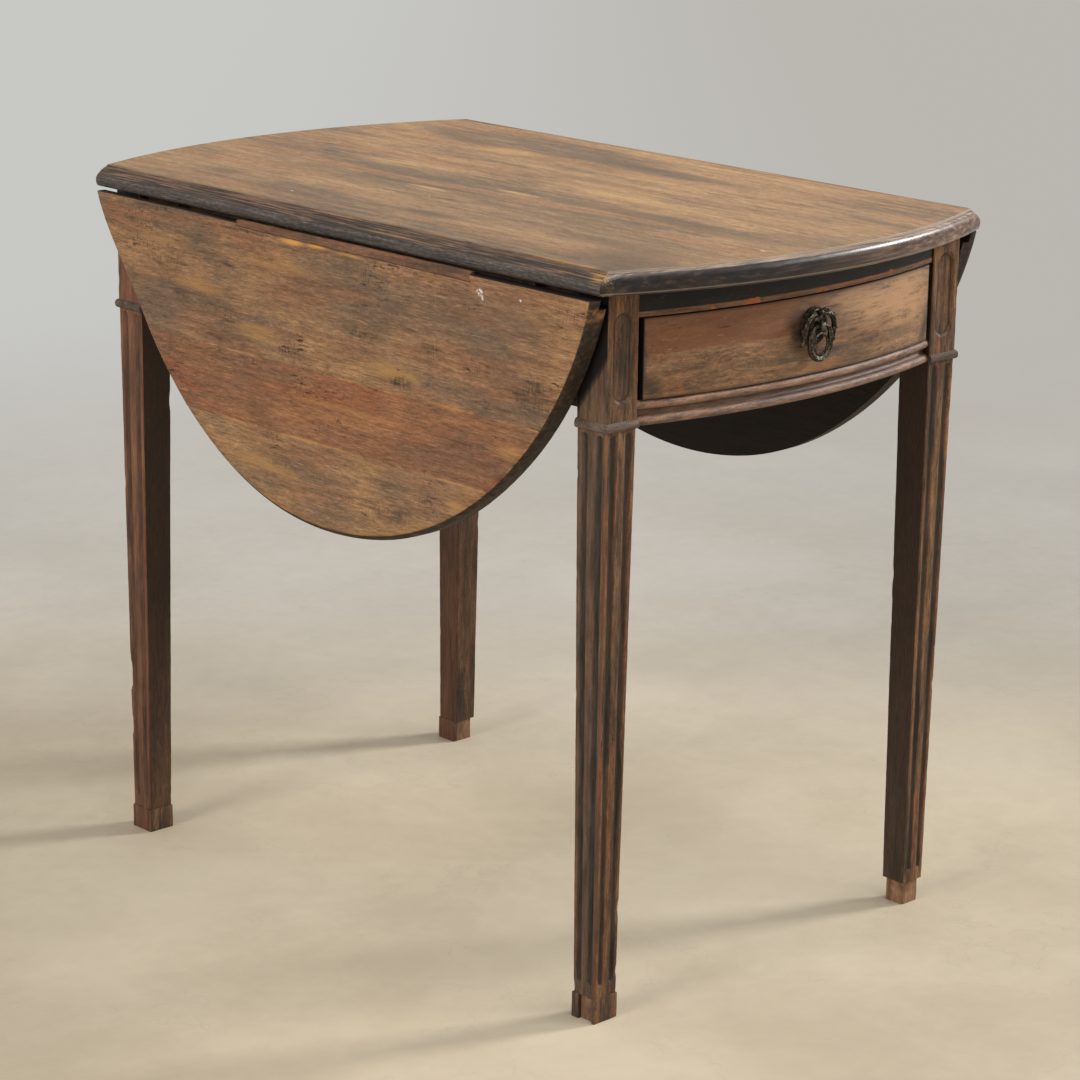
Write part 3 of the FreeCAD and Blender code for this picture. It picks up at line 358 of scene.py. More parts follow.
def side_edge_tone(wood, scrape):
    """Scraped black edge of the straight sides, speckled on the plain band below the moulding."""
    moulding = wood.ramp(
        scrape,
        (0.36, 28, 24, 22),
        (0.46, 58, 48, 42),
        (0.53, 92, 73, 61),
        (0.60, 136, 102, 76),
        (0.70, 182, 128, 84),
    )
    band = wood.ramp(
        wood.total((wood.noise(150, 800, 4, 0.75), 0.6), (scrape, 0.4)),
        (0.38, 38, 34, 33),
        (0.48, 66, 60, 57),
        (0.56, 92, 84, 79),
        (0.68, 142, 130, 122),
    )
    return wood.mix(wood.between(wood.z, SIDE_BAND_Z + 0.002, SIDE_BAND_Z - 0.002, 0.9), moulding, band)


def end_edge_tone(wood, end):
    """Edge of the bowed ends: a hollow behind the arris painted dark as shade, a pale bead with a painted
    highlight that grows to the right, and a front painted lighter to the right as lit.
    """
    across = wood.noise(9, 260, 4, 0.62, place=wood.place)
    # Painted shade: the dark tone of the hollow behind the arris.
    groove = wood.ramp(across, (0.38, 36, 31, 29), (0.54, 84, 75, 69), (0.66, 140, 128, 118))
    # pale is the bead's tone, partly wear and partly a painted highlight; worn is the lit tone of the
    # front's right part, a painted light.
    pale = wood.ramp(across, (0.36, 92, 74, 62), (0.50, 150, 126, 108), (0.66, 196, 170, 148))
    dull = wood.ramp(across, (0.38, 20, 17, 16), (0.54, 38, 31, 28), (0.68, 74, 58, 49))
    worn = wood.ramp(across, (0.38, 64, 47, 39), (0.54, 106, 81, 66), (0.68, 150, 120, 99))
    # Painted highlight: the bead turns from the dull tone to the pale one towards the right.
    painted_highlight = wood.between(wood.x, -0.27, 0.08)
    bead_tone = wood.mix(wood.total((painted_highlight, 0.45), plus=0.55), dull, pale)
    edge = wood.mix(wood.between(end, 0.0014, 0.0024), groove, bead_tone)
    # Painted light: the front turns from dull on the left to a lighter tone on the right.
    front = wood.mix(wood.between(wood.x, -0.12, 0.20), dull, worn)
    below = wood.between(wood.z, LOWER_ARRIS_Z - 0.0002, LOWER_ARRIS_Z - 0.0012)
    return wood.mix(wood.math("MAXIMUM", wood.between(end, 0.0048, 0.0054), below), edge, front)


def top_wood():
    """Fixed top: grey brown boards with stains, a pale glue line and a black, worn edge."""
    wood = Wood("top_wood", "yxz")
    wood.weather((120, 98, 77), (162, 128, 92), (156, 117, 82), 3.5, 15.0)
    place = wood.warped()
    wood.stain((92, 76, 63), TOP_DARK, place)
    wood.stain((198, 160, 108), TOP_PALE, place)
    wood.scratch((86, 70, 58), (204, 174, 134), 0.7)
    wood.stain((232, 228, 220), TOP_SPECKS, through=[])
    # Painted light and shade: the top is darkened towards the left and lightened towards the right.
    wood.shade(wood.x, -0.25, 0.20, 0.88, 1.10)
    wood.paint((208, 178, 136), wood.near(wood.x, GLUE_X, 0.0014, 0.0003), wood.grainy(0.44, 0.60, 0.6))
    side, end, at_end = top_edge_reach(wood)
    scrape = wood.noise(13, 460, 6, 0.72, 0.7)
    side_edge = side_edge_tone(wood, scrape)
    grime = wood.total((side, 1.0), (wood.noise(7, 130, 5, 0.7), 0.044), plus=-0.022)
    wood.paint(side_edge, wood.between(grime, -0.010, 0.004, 0.85))
    wood.paint(side_edge, wood.between(side, -0.0002, 0.0006))
    end_mask = wood.times(wood.between(end, -0.0004, 0.0001), at_end)
    wood.paint(end_edge_tone(wood, end), end_mask)
    # Pale line on the upper arris: wear, and a painted highlight.
    wood.paint((186, 166, 146), wood.near(end, 0.0, 0.0010, 0.0003, 0.6), at_end)
    # Pale line on the lower arris: wear, and a painted highlight.
    wood.paint((150, 128, 110), wood.near(wood.z, LOWER_ARRIS_Z, 0.0009, 0.0003, 0.5), end_mask)
    wood.stain((182, 138, 78), CORNER_WORN, wood.warped(0.024, 0.018), [wood.between(scrape, 0.46, 0.58)])
    wood.height = wood.times(wood.height, wood.total((end_mask, -0.9), plus=1.0))
    return wood.finish(0.46, 0.0008, 0.5, (wood.between(end, 0.0030, 0.0050), -0.31))


LEAF_DARK = (
    (0.265, 0.721, 0.055, 0.0045, 0.9),
    (0.287, 0.703, 0.050, 0.0080, 0.7),
    (0.254, 0.668, 0.070, 0.0140, 0.6),
    (0.126, 0.718, 0.060, 0.0035, 0.9),
    (0.154, 0.679, 0.018, 0.0070, 0.9),
    (0.155, 0.625, 0.032, 0.0140, 0.8),
    (0.232, 0.634, 0.018, 0.0100, 0.8),
    (0.168, 0.598, 0.028, 0.0060, 0.8),
    (0.056, 0.604, 0.026, 0.0095, 0.9),
    (-0.300, 0.625, 0.032, 0.0340, 0.85),
    (-0.058, 0.640, 0.040, 0.0075, 0.8),
    (-0.154, 0.640, 0.032, 0.0160, 0.7),
    (-0.109, 0.602, 0.028, 0.0110, 0.95),
    (-0.100, 0.468, 0.060, 0.0140, 0.8),
    (-0.215, 0.560, 0.060, 0.0080, 0.5),
    (0.060, 0.485, 0.050, 0.0060, 0.5),
)
LEAF_YELLOW = (
    (0.265, 0.690, 0.050, 0.0100, 0.45),
    (0.110, 0.616, 0.055, 0.0110, 0.7),
    (-0.100, 0.612, 0.055, 0.0130, 0.8),
    (0.060, 0.690, 0.090, 0.0100, 0.4),
    (0.200, 0.650, 0.060, 0.0120, 0.5),
    (-0.268, 0.561, 0.026, 0.0080, 0.7),
    (-0.200, 0.492, 0.026, 0.0100, 0.7),
    (-0.030, 0.560, 0.130, 0.0060, 0.5),
    (0.100, 0.480, 0.080, 0.0140, 0.6),
)
LEAF_GREY = (
    (-0.250, 0.685, 0.130, 0.040, 0.2),
    (0.095, 0.655, 0.110, 0.018, 0.15),
    (-0.010, 0.480, 0.120, 0.018, 0.15),
)
LEAF_SPLIT = (
    (0.050, 0.7165, 0.026, 0.0040, 1.0),
    (0.012, 0.7175, 0.022, 0.0040, 0.9),
    (-0.040, 0.7160, 0.030, 0.0025, 0.6),
)
LEAF_PAINT = (
    (-0.227, 0.7095, 0.0060, 0.0050, 1.0),
    (-0.231, 0.7045, 0.0030, 0.0040, 0.8),
    (-0.283, 0.7100, 0.0034, 0.0018, 1.0),
)
LEAF_CORNER = (
    (-0.372, 0.708, 0.007, 0.009, 0.9),
)

# Leaves: heights of the joints between their boards, outer face, depth of the back, and the lip below
# the top
LEAF_FIRST_JOINT = 0.590
LEAF_SECOND_JOINT = 0.517
LEAF_OUTER_X = 0.278
LEAF_BACK_DEPTH = 0.0214
LEAF_LIP_Z = 0.7228

# Repair strip on the hinge edge of the left leaf; its lower edge rises from front to back
STRIP_MIDDLE = -0.0385
STRIP_HALF = 0.1755
STRIP_LOW = 0.7196
STRIP_RISE = 0.010


def leaf_tone(wood, upper, middle, lower):
    """One tone per board of the leaf, by height."""
    colour = upper
    for joint, tone in ((LEAF_FIRST_JOINT, middle), (LEAF_SECOND_JOINT, lower)):
        colour = wood.mix(wood.between(wood.z, joint + 0.0003, joint - 0.0003), colour, tone)
    return colour


def leaf_wood(name, shift, marked, rim_light):
    """Boards of a leaf; the marked one carries the stains seen on the left leaf. Its back and the top of its
    lip are painted dark as shade, and rim_light scales the tone of its rim, below one as painted shade.
    """
    wood = Wood(name, "yzx", (0.0, 0.0, shift))
    greys = leaf_tone(wood, (120, 97, 78), (128, 93, 71), (127, 102, 80))
    yellows = leaf_tone(wood, (158, 120, 86), (152, 106, 74), (165, 126, 89))
    reds = leaf_tone(wood, (142, 102, 75), (148, 90, 61), (148, 107, 78))
    wood.weather(greys, yellows, reds, 7.0, 17.0)
    place = wood.warped(0.035, 0.010)
    if marked:
        wood.stain((110, 92, 78), LEAF_GREY, place)
        wood.stain((180, 136, 84), LEAF_YELLOW, place)
    wood.scratch((58, 47, 40), (188, 146, 102), 1.25)
    if marked:
        ticks = wood.total((wood.noise(330, 80, 4, 0.7), 0.42), (wood.noise(40, 330, 4, 0.7), 0.58))
        wood.stain((64, 54, 46), LEAF_DARK, place, [wood.between(ticks, 0.42, 0.60)])
        wood.stain((222, 160, 84), LEAF_SPLIT, wood.warped(0.02, 0.004))
    for joint in (LEAF_FIRST_JOINT, LEAF_SECOND_JOINT):
        wood.paint((196, 144, 88), wood.near(wood.z, joint, 0.0019, 0.0003), wood.grainy(0.46, 0.64, 0.85))
    if marked:
        above = wood.total((wood.z, 1.0), (wood.y, -STRIP_RISE), plus=-STRIP_LOW)
        along = wood.near(wood.y, STRIP_MIDDLE, STRIP_HALF + 0.001, STRIP_HALF)
        wood.paint((36, 27, 21), wood.near(above, 0.0, 0.0013, 0.0004, 0.9), along)
        flakes = wood.between(wood.noise(420, 420, 2), 0.42, 0.50)
        wood.stain((236, 232, 228), LEAF_PAINT, through=[flakes])
    depth = wood.math("SUBTRACT", LEAF_OUTER_X, wood.gap(wood.x))
    rim = wood.ramp(wood.noise(40, 200, 4, 0.65), (0.36, 40, 32, 26), (0.54, 60, 47, 38), (0.70, 88, 68, 53))
    # rim_light below one makes the rim darker: painted shade, used on the right leaf.
    rim = wood.shaded(rim, wood.streaks, 0.3, 0.7, 0.8 * rim_light, 1.2 * rim_light)
    wood.paint(rim, wood.between(depth, 0.0006, 0.0016))
    wood.paint((180, 138, 94), wood.near(depth, 0.0008, 0.0007, 0.0002), wood.grainy(0.42, 0.60, 0.5))
    if marked:
        wood.stain((150, 104, 72), LEAF_CORNER, place, [wood.grainy(0.34, 0.56)])
    # Painted shade: the back of the leaf, which faces the frame, is painted dark.
    back = wood.streaky((26, 21, 18), (43, 35, 29), 0.3, 0.7)
    wood.paint(back, wood.between(depth, LEAF_BACK_DEPTH, LEAF_BACK_DEPTH + 0.0008))
    # Painted shade: the top of the lip under the fixed top is painted near black, except at its back end.
    lip = wood.between(wood.z, LEAF_LIP_Z, LEAF_LIP_Z + 0.0009)
    wood.paint((28, 22, 19), lip, wood.between(wood.y, 0.22, 0.15))
    return wood.finish(0.48, 0.0010, 0.25)


def strip_wood():
    """Repair strip on the hinge edge of the left leaf."""
    wood = Wood("strip_wood", "yzx")
    wood.weather((88, 64, 48), (122, 86, 63), (118, 78, 55), 9.0, 40.0)
    wood.scratch((54, 42, 34), (190, 146, 108), 0.8)
    return wood.finish(0.42, 0.0008, 0.35)


def dark_wood(name, order, shift=0.0, worn_share=0.7):
    """Stained wood of legs and rails: black in the hollows, worn to red brown on the arrises, greyed on the
    sides in front as painted light, russet at the back, with painted shade on the inner faces and a painted
    shadow of a hanging leaf on the block."""
    wood = Wood(name, order, (shift, 0.0, shift))
    wood.weather((68, 52, 40), (126, 91, 60), (122, 77, 48), 9.0, 60.0, 1.3)
    wood.scratch((32, 25, 22), (160, 118, 86), 0.9)
    # Painted light: faces that look along X are greyed towards a cool sheen in front, and made russet at the
    # back.
    on_side = wood.between(wood.gap(wood.axes(wood.facing)[0]), 0.6, 0.9, 0.6)
    wood.paint(wood.streaky((60, 52, 46), (104, 89, 77)), on_side, wood.between(wood.y, 0.2, -0.2))
    at_back = wood.between(wood.y, 0.1, 0.3)
    wood.paint(wood.streaky((92, 60, 48), (140, 94, 72)), on_side, at_back)
    groove = wood.attribute("groove")
    # Darker in the flutes and in the sunk panel.
    hollow_tone = wood.streaky((28, 24, 22), (62, 54, 49), 0.35, 0.65)
    wood.paint(hollow_tone, wood.between(groove, 0.0, 1.0, 0.88), wood.total((at_back, -0.4), plus=1.0))
    red = wood.noise(9, 120, 4, 0.6)
    red = wood.ramp(red, (0.35, 86, 48, 32), (0.54, 128, 75, 48), (0.72, 158, 102, 68))
    worn = wood.total((wood.attribute("wear"), worn_share), (wood.streaks, 0.6))
    wood.paint(red, wood.between(worn, 0.58, 0.88, 0.9))
    # Painted shadow: the hanging leaf's shadow on the side of the block, painted near black.
    wood.paint((16, 13, 11), wood.between(groove, 1.0, 2.0, 0.95))
    # Inner faces painted darker and redder, as painted shade.
    inside = wood.mix(wood.between(wood.fibres, 0.3, 0.7), (34, 21, 13), (56, 36, 22))
    wood.paint(inside, wood.times(wood.attribute("inner_shade"), 0.95))
    wood.shade(wood.z, 0.05, 0.50, 0.80, 1.0)
    bare = wood.noise(60, 160, 4, 0.6)
    bare = wood.ramp(bare, (0.35, 100, 72, 53), (0.52, 136, 101, 75), (0.70, 160, 125, 95))
    level = wood.total((wood.z, 1.0), (wood.noise(140, 140, place=wood.place), 0.010), plus=-0.005)
    wood.paint(bare, wood.between(level, FOOT_TOP - 0.001, FOOT_TOP - 0.003), wood.attribute("core"))
    return wood.finish(0.36, 0.0008, 0.28)


# Upper front rail: top of its brown strip, and its chips, whose last number is the share of the radius at
# full strength
RAIL_STRIP_Z = 0.7050
RAIL_CHIPS = (
    (-0.1317, 0.6995, 0.0062, 0.0036, 1.0, 0.7),
    (-0.0840, 0.7003, 0.0120, 0.0056, 1.0, 0.8),
    (-0.0770, 0.7030, 0.0048, 0.0036, 1.0, 0.8),
    (0.0120, 0.7005, 0.0098, 0.0044, 1.0, 0.7),
    (0.0770, 0.7030, 0.0600, 0.0014, 0.9, 0.5),
    (0.1250, 0.7040, 0.0060, 0.0030, 0.8, 0.5),
    (-0.0200, 0.7000, 0.0240, 0.0010, 0.8, 0.5),
)


def rail_wood():
    """Upper front rail: nearly black, with a brown lower strip that has lost chips."""
    wood = Wood("rail_wood", "xzy")
    wood.weather((22, 19, 18), (32, 27, 25), (40, 31, 27), 8.0, 50.0)
    wood.scratch((15, 13, 12), (78, 64, 55), 0.8)
    level = wood.total((wood.z, 1.0), (wood.streaks, 0.0014))
    brown = wood.streaky((84, 60, 46), (138, 100, 76), 0.35, 0.65)
    wood.paint(brown, wood.between(level, RAIL_STRIP_Z + 0.0008, RAIL_STRIP_Z, 0.9))
    ragged = wood.between(wood.noise(170, 420, 3, 0.6), 0.38, 0.50)
    wood.stain((166, 92, 53), RAIL_CHIPS, wood.warped(0.006, 0.0040), [ragged])
    return wood.finish(0.30, 0.0005, 0.25)


# Lower rails: height of the hollow between the two beads, and foot of the lower one
HOLLOW_Z = 0.6072
BEAD_FOOT_Z = 0.5955


def bead_wood():
    """Lower rails: copper brown on the beads, with painted shade in the hollow between them and on the lower
    part of the lower bead.
    """
    wood = Wood("bead_wood", "xzy")
    wood.weather((100, 78, 65), (150, 116, 94), (140, 102, 80), 10.0, 90.0)
    wood.scratch((46, 35, 29), (206, 162, 128))
    # Painted shade in the hollow between the beads.
    wood.paint((44, 33, 28), wood.near(wood.z, HOLLOW_Z, 0.0044, 0.0018, 0.55))
    # Painted shade on the lower part of the lower bead.
    wood.paint((46, 35, 30), wood.between(wood.z, BEAD_FOOT_Z + 0.003, BEAD_FOOT_Z, 0.5))
    return wood.finish(0.34, 0.0008, 0.4)


DRAWER_TAN = (
    (0.115, 0.676, 0.110, 0.034, 0.95),
    (0.160, 0.664, 0.060, 0.046, 0.75),
    (0.060, 0.690, 0.060, 0.012, 0.7),
)
DRAWER_ORANGE = (
    (0.0077, 0.692, 0.010, 0.006, 0.9),
    (-0.164, 0.626, 0.006, 0.011, 0.9),
    (0.020, 0.628, 0.040, 0.008, 0.5),
)
DRAWER_DARK = (
    # The first oval, left of the pull, is partly a stain and partly a painted shadow of the pull.
    (-0.019, 0.668, 0.024, 0.028, 0.90),
    (-0.115, 0.682, 0.012, 0.0018, 1.0),
    (-0.197, 0.630, 0.020, 0.016, 0.85),
    (0.200, 0.632, 0.012, 0.026, 0.80),
    (-0.205, 0.662, 0.007, 0.045, 0.75),
    (0.026, 0.642, 0.034, 0.004, 0.65),
    (0.060, 0.656, 0.016, 0.003, 0.7),
    (0.150, 0.640, 0.040, 0.010, 0.5),
    (0.030, 0.684, 0.016, 0.0025, 0.7),
    (-0.060, 0.640, 0.080, 0.005, 0.4),
)

# Drawer front: middle of the rings in its grain, height where the tone changes, its middle height, and
# where its side edges begin
SWIRL = (-0.094, 0.640, 0.0)
TONE_SPLIT_Z = 0.6640
DRAWER_MIDDLE_Z = 0.65925
DRAWER_SIDE_X = 0.2036


def drawer_wood():
    """Drawer front: orange above, grey brown and swirling below, tan to the right, with a painted shadow of
    the pull beside it and painted shade at its side edges.
    """
    wood = Wood("drawer_wood", "xzy")
    wood.weather((98, 75, 56), (140, 106, 76), (130, 92, 62), 10.0, 30.0)
    bent = wood.vector("SUBTRACT", wood.warped(0.016, 0.012), SWIRL)
    rings = wood.joined(wood.vector("LENGTH", wood.vector("MULTIPLY", bent, (0.5, 1.0, 0.0))))
    ripple = wood.noise(420, 1, 3, 0.6, place=rings)
    rippled = wood.shaded(wood.colour, ripple, 0.36, 0.64, 0.55, 1.36)
    wood.paint(rippled, wood.spot(wood.grain, -0.096, 0.648, 0.058, 0.026, 0.8))
    place = wood.warped(0.03, 0.010)
    aside, level, _ = wood.axes(place)
    above = wood.between(level, TONE_SPLIT_Z - 0.003, TONE_SPLIT_Z + 0.002)
    wood.paint((124, 78, 47), above, wood.between(aside, 0.010, -0.050, 0.85))
    wood.shade(wood.streaks, 0.30, 0.70, 0.86, 1.14)
    wood.stain((154, 96, 54), DRAWER_ORANGE, place)
    wood.stain((182, 140, 102), DRAWER_TAN, place)
    wood.scratch((54, 41, 32), (190, 146, 104), 0.9)
    # Dark ovals: stains, the first partly a painted shadow of the pull.
    wood.stain((46, 36, 29), DRAWER_DARK, place)
    rim = wood.total((wood.gap(wood.z, DRAWER_MIDDLE_Z), 1.0), (wood.streaks, 0.006))
    wood.paint((44, 33, 27), wood.between(rim, 0.0385, 0.0425, 0.8))
    # Painted shade: the side edges are painted near black, as in the gap beside the drawer.
    wood.paint((20, 16, 14), wood.between(wood.gap(wood.x), DRAWER_SIDE_X, DRAWER_SIDE_X + 0.001))
    return wood.finish(0.36, 0.0006, 0.4)


def plain_wood(name, order, grey, yellow, red):
    """Unpolished wood of the collars and of the pieces out of sight."""
    wood = Wood(name, order)
    wood.weather(grey, yellow, red, 4.0, 24.0)
    wood.scratch((58, 44, 34), (190, 158, 118), 0.8)
    return wood.finish(0.52, 0.0008, 0.25)


def metal(name, dark, middle, bright, roughness, scale, metallic):
    """Worn metal with darker patina in patches."""
    shader = Shader(name)
    patches = shader.noise(scale, scale, 5, 0.62)
    grit = shader.noise(scale * 7, scale * 7, 2)
    tones = shader.total((patches, 0.75), (grit, 0.25))
    shader.colour = shader.ramp(tones, (0.36, *dark), (0.50, *middle), (0.66, *bright))
    rough = shader.total((patches, 0.35), plus=roughness)
    return shader.close(rough, grit, 0.00025, metallic=metallic)


# Meshes

def add_object(name, data):
    """New object in the scene."""
    made = bpy.data.objects.new(name, data)
    bpy.context.scene.collection.objects.link(made)
    return made


def finish_mesh(mesh, crease):
    """Shade a mesh smooth, but sharp at edges steeper than the crease in degrees."""
    mesh.update()
    mesh.shade_smooth()
    mesh.set_sharp_from_angle(angle=math.radians(crease))


def new_mesh(name, points, faces, crease, **values):
    """Mesh with its faces turned outward; values hold one number per point."""
    mesh = bpy.data.meshes.new(name)
    mesh.from_pydata(points, [], faces)
    for title, numbers in values.items():
        layer = mesh.attributes.new(title, "FLOAT", "POINT")
        layer.data.foreach_set("value", numbers)
    form = bmesh.new()
    form.from_mesh(mesh)
    bmesh.ops.recalc_face_normals(form, faces=form.faces)
    form.to_mesh(mesh)
    form.free()
    finish_mesh(mesh, crease)
    return mesh


def cover(mesh, material):
    """Give a mesh one material."""
    mesh.materials.clear()
    mesh.materials.append(material)


def add_piece(name, mesh, material, body, slot, *nodes):
    """Put a mesh in the scene in place of CAD nodes, moving with a body."""
    piece = add_object(name, mesh)
    cover(mesh, material)
    if nodes:
        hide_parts(*nodes)
    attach(piece, body)
    return piece


def ring_faces(rows, count, closed=True):
    """Quads between rows of points."""
    faces = []
    for row in range(rows - 1):
        for here in range(count if closed else count - 1):
            after = (here + 1) % count
            low, high = row * count, (row + 1) * count
            faces.append((low + here, low + after, high + after, high + here))
    return faces


def capped_rings(rows, count):
    """Quads between closed rows of points, and a face across each end."""
    last = (rows - 1) * count
    return ring_faces(rows, count) + [tuple(range(count - 1, -1, -1)), tuple(range(last, last + count))]


def uneven(point, size, amount, seed=0.0):
    """Slow bumps and dips of hand work, at most the amount either way."""
    return amount * noise.noise(Vector(point) / size + Vector((seed, seed, seed)))


def chipped(point, size, threshold, amount, seed):
    """Depth of the odd chip: zero nearly everywhere."""
    value = noise.noise(Vector(point) / size + Vector((seed, seed, seed)))
    return amount * max(0.0, value - threshold) / (1.0 - threshold)


def eased(value, low, high):
    """Smooth step from 0 at low to 1 at high."""
    share = min(1.0, max(0.0, (value - low) / (high - low)))
    return share * share * (3.0 - 2.0 * share)


def softened(node, width, shape=None):
    """Copy of a CAD node's mesh with its sharp edges rounded off; shape may work on it first."""
    form = bmesh.new()
    form.from_mesh(frame["nodes"][node].data)
    bmesh.ops.remove_doubles(form, verts=form.verts, dist=0.000002)
    bmesh.ops.dissolve_limit(form, angle_limit=math.radians(0.4), verts=form.verts, edges=form.edges)
    if shape:
        shape(form)
    sharp = [edge for edge in form.edges if edge.is_manifold and edge.calc_face_angle() > math.radians(40)]
    bmesh.ops.bevel(
        form, geom=sharp, offset=width, offset_type="OFFSET", segments=2, profile=0.6,
        affect="EDGES", clamp_overlap=True,
    )
    form.normal_update()
    for face in form.faces:
        face.smooth = True
    for edge in form.edges:
        flats = [abs(face.normal.x) > 0.9995 for face in edge.link_faces]
        steep = edge.is_manifold and edge.calc_face_angle() > math.radians(50)
        edge.smooth = not steep and len(set(flats)) == 1
    mesh = bpy.data.meshes.new(node + "_worn")
    form.to_mesh(mesh)
    form.free()
    return mesh


# Rim of the leaves: middle of their round outline, radius of the flat face, and depth of the rounding
LEAF_MIDDLE_Z = 0.8196
LEAF_FACE_RADIUS = 0.3836
LEAF_ROUNDING = 0.009


def leaf_reach(point):
    """How far a point lies from the middle of a leaf's outline."""
    return math.hypot(point.y, LEAF_MIDDLE_Z - point.z)


def rounded_rim(form):
    """Round the rim of a leaf over, wide at its foot and narrow at its ends."""
    outline = LEAF_FACE_RADIUS - 0.0004
    rim = []
    for edge in form.edges:
        first, second = (corner.co for corner in edge.verts)
        on_rim = min(leaf_reach(first), leaf_reach(second)) > outline
        if on_rim and abs(first.x - second.x) > 0.005:
            rim.append(edge)
    bmesh.ops.subdivide_edges(form, edges=rim, cuts=8)
    for corner in form.verts:
        point = corner.co
        if leaf_reach(point) < outline:
            continue
        drop = LEAF_MIDDLE_Z - point.z
        angle = abs(math.degrees(math.atan2(point.y, drop)))
        left = 1.0 - min(1.0, (LEAF_OUTER_X - abs(point.x)) / LEAF_ROUNDING)
        width = 0.0045 + 0.0060 * eased(angle, 48.0, 12.0)
        radius = LEAF_FACE_RADIUS + width * math.sqrt(max(0.0, 1.0 - left ** 2))
        if angle > 36.0:
            point.y = math.copysign(math.sqrt(radius ** 2 - drop ** 2), point.y)
        else:
            scale = radius / leaf_reach(point)
            point.y *= scale
            point.z = LEAF_MIDDLE_Z - drop * scale


def lopsided_rim(form):
    """The left leaf: rounded over, and cut leaner at its far side."""
    rounded_rim(form)
    for corner in form.verts:
        if corner.co.y > 0.0 and leaf_reach(corner.co) > 0.36:
            corner.co.y *= 1.0 - 0.075 * eased(corner.co.z, 0.735, 0.600)


# Fixed top

# Rings of the top's edge from the flat face down, in millimetres: how far in and how deep at the
# bowed ends, then the same at the straight sides
TOP_RINGS = (
    (12.8, 0.0, 20.8, 0.0),
    (8.4, 0.0, 13.4, 0.0),
    (8.0, 0.3, 13.0, 0.3),
    (7.8, 1.7, 12.6, 1.5),
    (7.2, 2.2, 11.6, 1.9),
    (6.2, 2.0, 10.0, 2.7),
    (4.6, 2.3, 7.5, 4.3),
    (3.3, 2.9, 5.0, 6.3),
    (3.1, 3.1, 4.6, 6.7),
    (2.1, 4.1, 3.0, 8.2),
    (1.2, 5.4, 1.7, 9.9),
    (0.54, 6.8, 0.7, 11.5),
    (0.14, 8.3, 0.15, 12.8),
    (0.0, 9.9, 0.0, 14.0),
    (0.0, 14.0, 0.1, 16.5),
    (0.1, 19.4, 0.8, 19.4),
    (0.4, 20.8, 1.6, 20.9),
    (1.4, 22.0, 3.0, 22.0),
)
ARRIS_RINGS = (2, 3, 7, 8, 15, 16)


def top_stations(ring, way):
    """Outline of one board at one ring, from the glue line at the front round to it at the back."""
    end_in, end_deep, side_in, side_deep = (number * MM for number in ring)
    side_x = NOSE_X - side_in
    radius = END_RADIUS - end_in
    end_count, side_count = 110, 220

    def end_y(x):
        return math.sqrt(radius ** 2 - x ** 2) - BOW_CENTRE

    def depth(x):
        share = max(0.0, 1.0 - (side_x - abs(x)) / 0.016)
        return end_deep + (side_deep - end_deep) * share

    across = [GLUE_X + (way * side_x - GLUE_X) * step / end_count for step in range(end_count)]
    line = [(x, -end_y(x), depth(x), "end") for x in across]
    for step in range(side_count + 1):
        line.append((way * side_x, end_y(side_x) * (2.0 * step / side_count - 1.0), side_deep, "side"))
    line += [(x, end_y(x), depth(x), "end") for x in reversed(across)]
    return line


def worn_edge(x, y, depth, part, way, arris):
    """Point of the top's edge, moved in by wear and by the odd nick on its arrises."""
    point = Vector((x, y, TOP_Z - depth))
    if part == "side":
        inward = Vector((-way, 0, 0))
    else:
        inward = Vector((-x, -y - math.copysign(BOW_CENTRE, y), 0)).normalized()
    away = uneven(point, 0.05, 0.0003, 3.0) + uneven(point, 0.012, 0.00012, 5.0)
    if arris:
        away += chipped(point, 0.03, 0.45, 0.0016, 9.0)
    if part == "side":
        away += chipped(point, 0.05, 0.30, 0.0012, 2.0)
    point += inward * max(away, -0.0003)
    point.z -= max(0.0, away) * 0.4
    return point


def top_board(way):
    """Points and faces of one board of the top; way is -1 for the left one and 1 for the right one."""
    points = []
    rows = len(TOP_RINGS)
    for number, ring in enumerate(TOP_RINGS):
        for x, y, depth, part in top_stations(ring, way):
            if number in (0, 1, rows - 1):
                points.append(Vector((x, y, TOP_Z - depth)))
            else:
                points.append(worn_edge(x, y, depth, part, way, number in ARRIS_RINGS))
    count = len(points) // rows
    last = (rows - 1) * count
    faces = ring_faces(rows, count, closed=False)
    faces.append(tuple(range(count)))
    faces.append(tuple(range(last, last + count)))
    front = [row * count for row in range(rows)]
    back = [row * count + count - 1 for row in range(rows)]
    faces.append(tuple(front[::-1] + back))
    return points, faces


def box_mesh(name, low, high):
    """Box between two corners."""
    corners = [(x, y, z) for x in (low[0], high[0]) for y in (low[1], high[1]) for z in (low[2], high[2])]
    faces = ((0, 1, 3, 2), (4, 6, 7, 5), (0, 4, 5, 1), (2, 3, 7, 6), (0, 2, 6, 4), (1, 5, 7, 3))
    mesh = bpy.data.meshes.new(name)
    mesh.from_pydata(corners, [], faces)
    return mesh


def cut_away(mesh, boxes):
    """Mesh with boxes taken out of it."""
    holder = add_object("cut_holder", mesh)
    cutters = []
    for low, high in boxes:
        cutter = add_object("cutter", box_mesh("cutter", low, high))
        step = holder.modifiers.new("cut", "BOOLEAN")
        step.operation = "DIFFERENCE"
        step.solver = "EXACT"
        step.object = cutter
        cutters.append(cutter)
    bpy.context.view_layer.update()
    graph = bpy.context.evaluated_depsgraph_get()
    result = bpy.data.meshes.new_from_object(holder.evaluated_get(graph))
    for thing in cutters + [holder]:
        bpy.data.objects.remove(thing)
    return result


# Pockets for the knuckles and for the let-in flaps of the hinges: inner and outer x, half length and height
HINGE_POCKETS = (
    (0.249, 0.268, 0.0256, 0.0116),
    (0.224, 0.250, 0.0250, 0.0020),
)


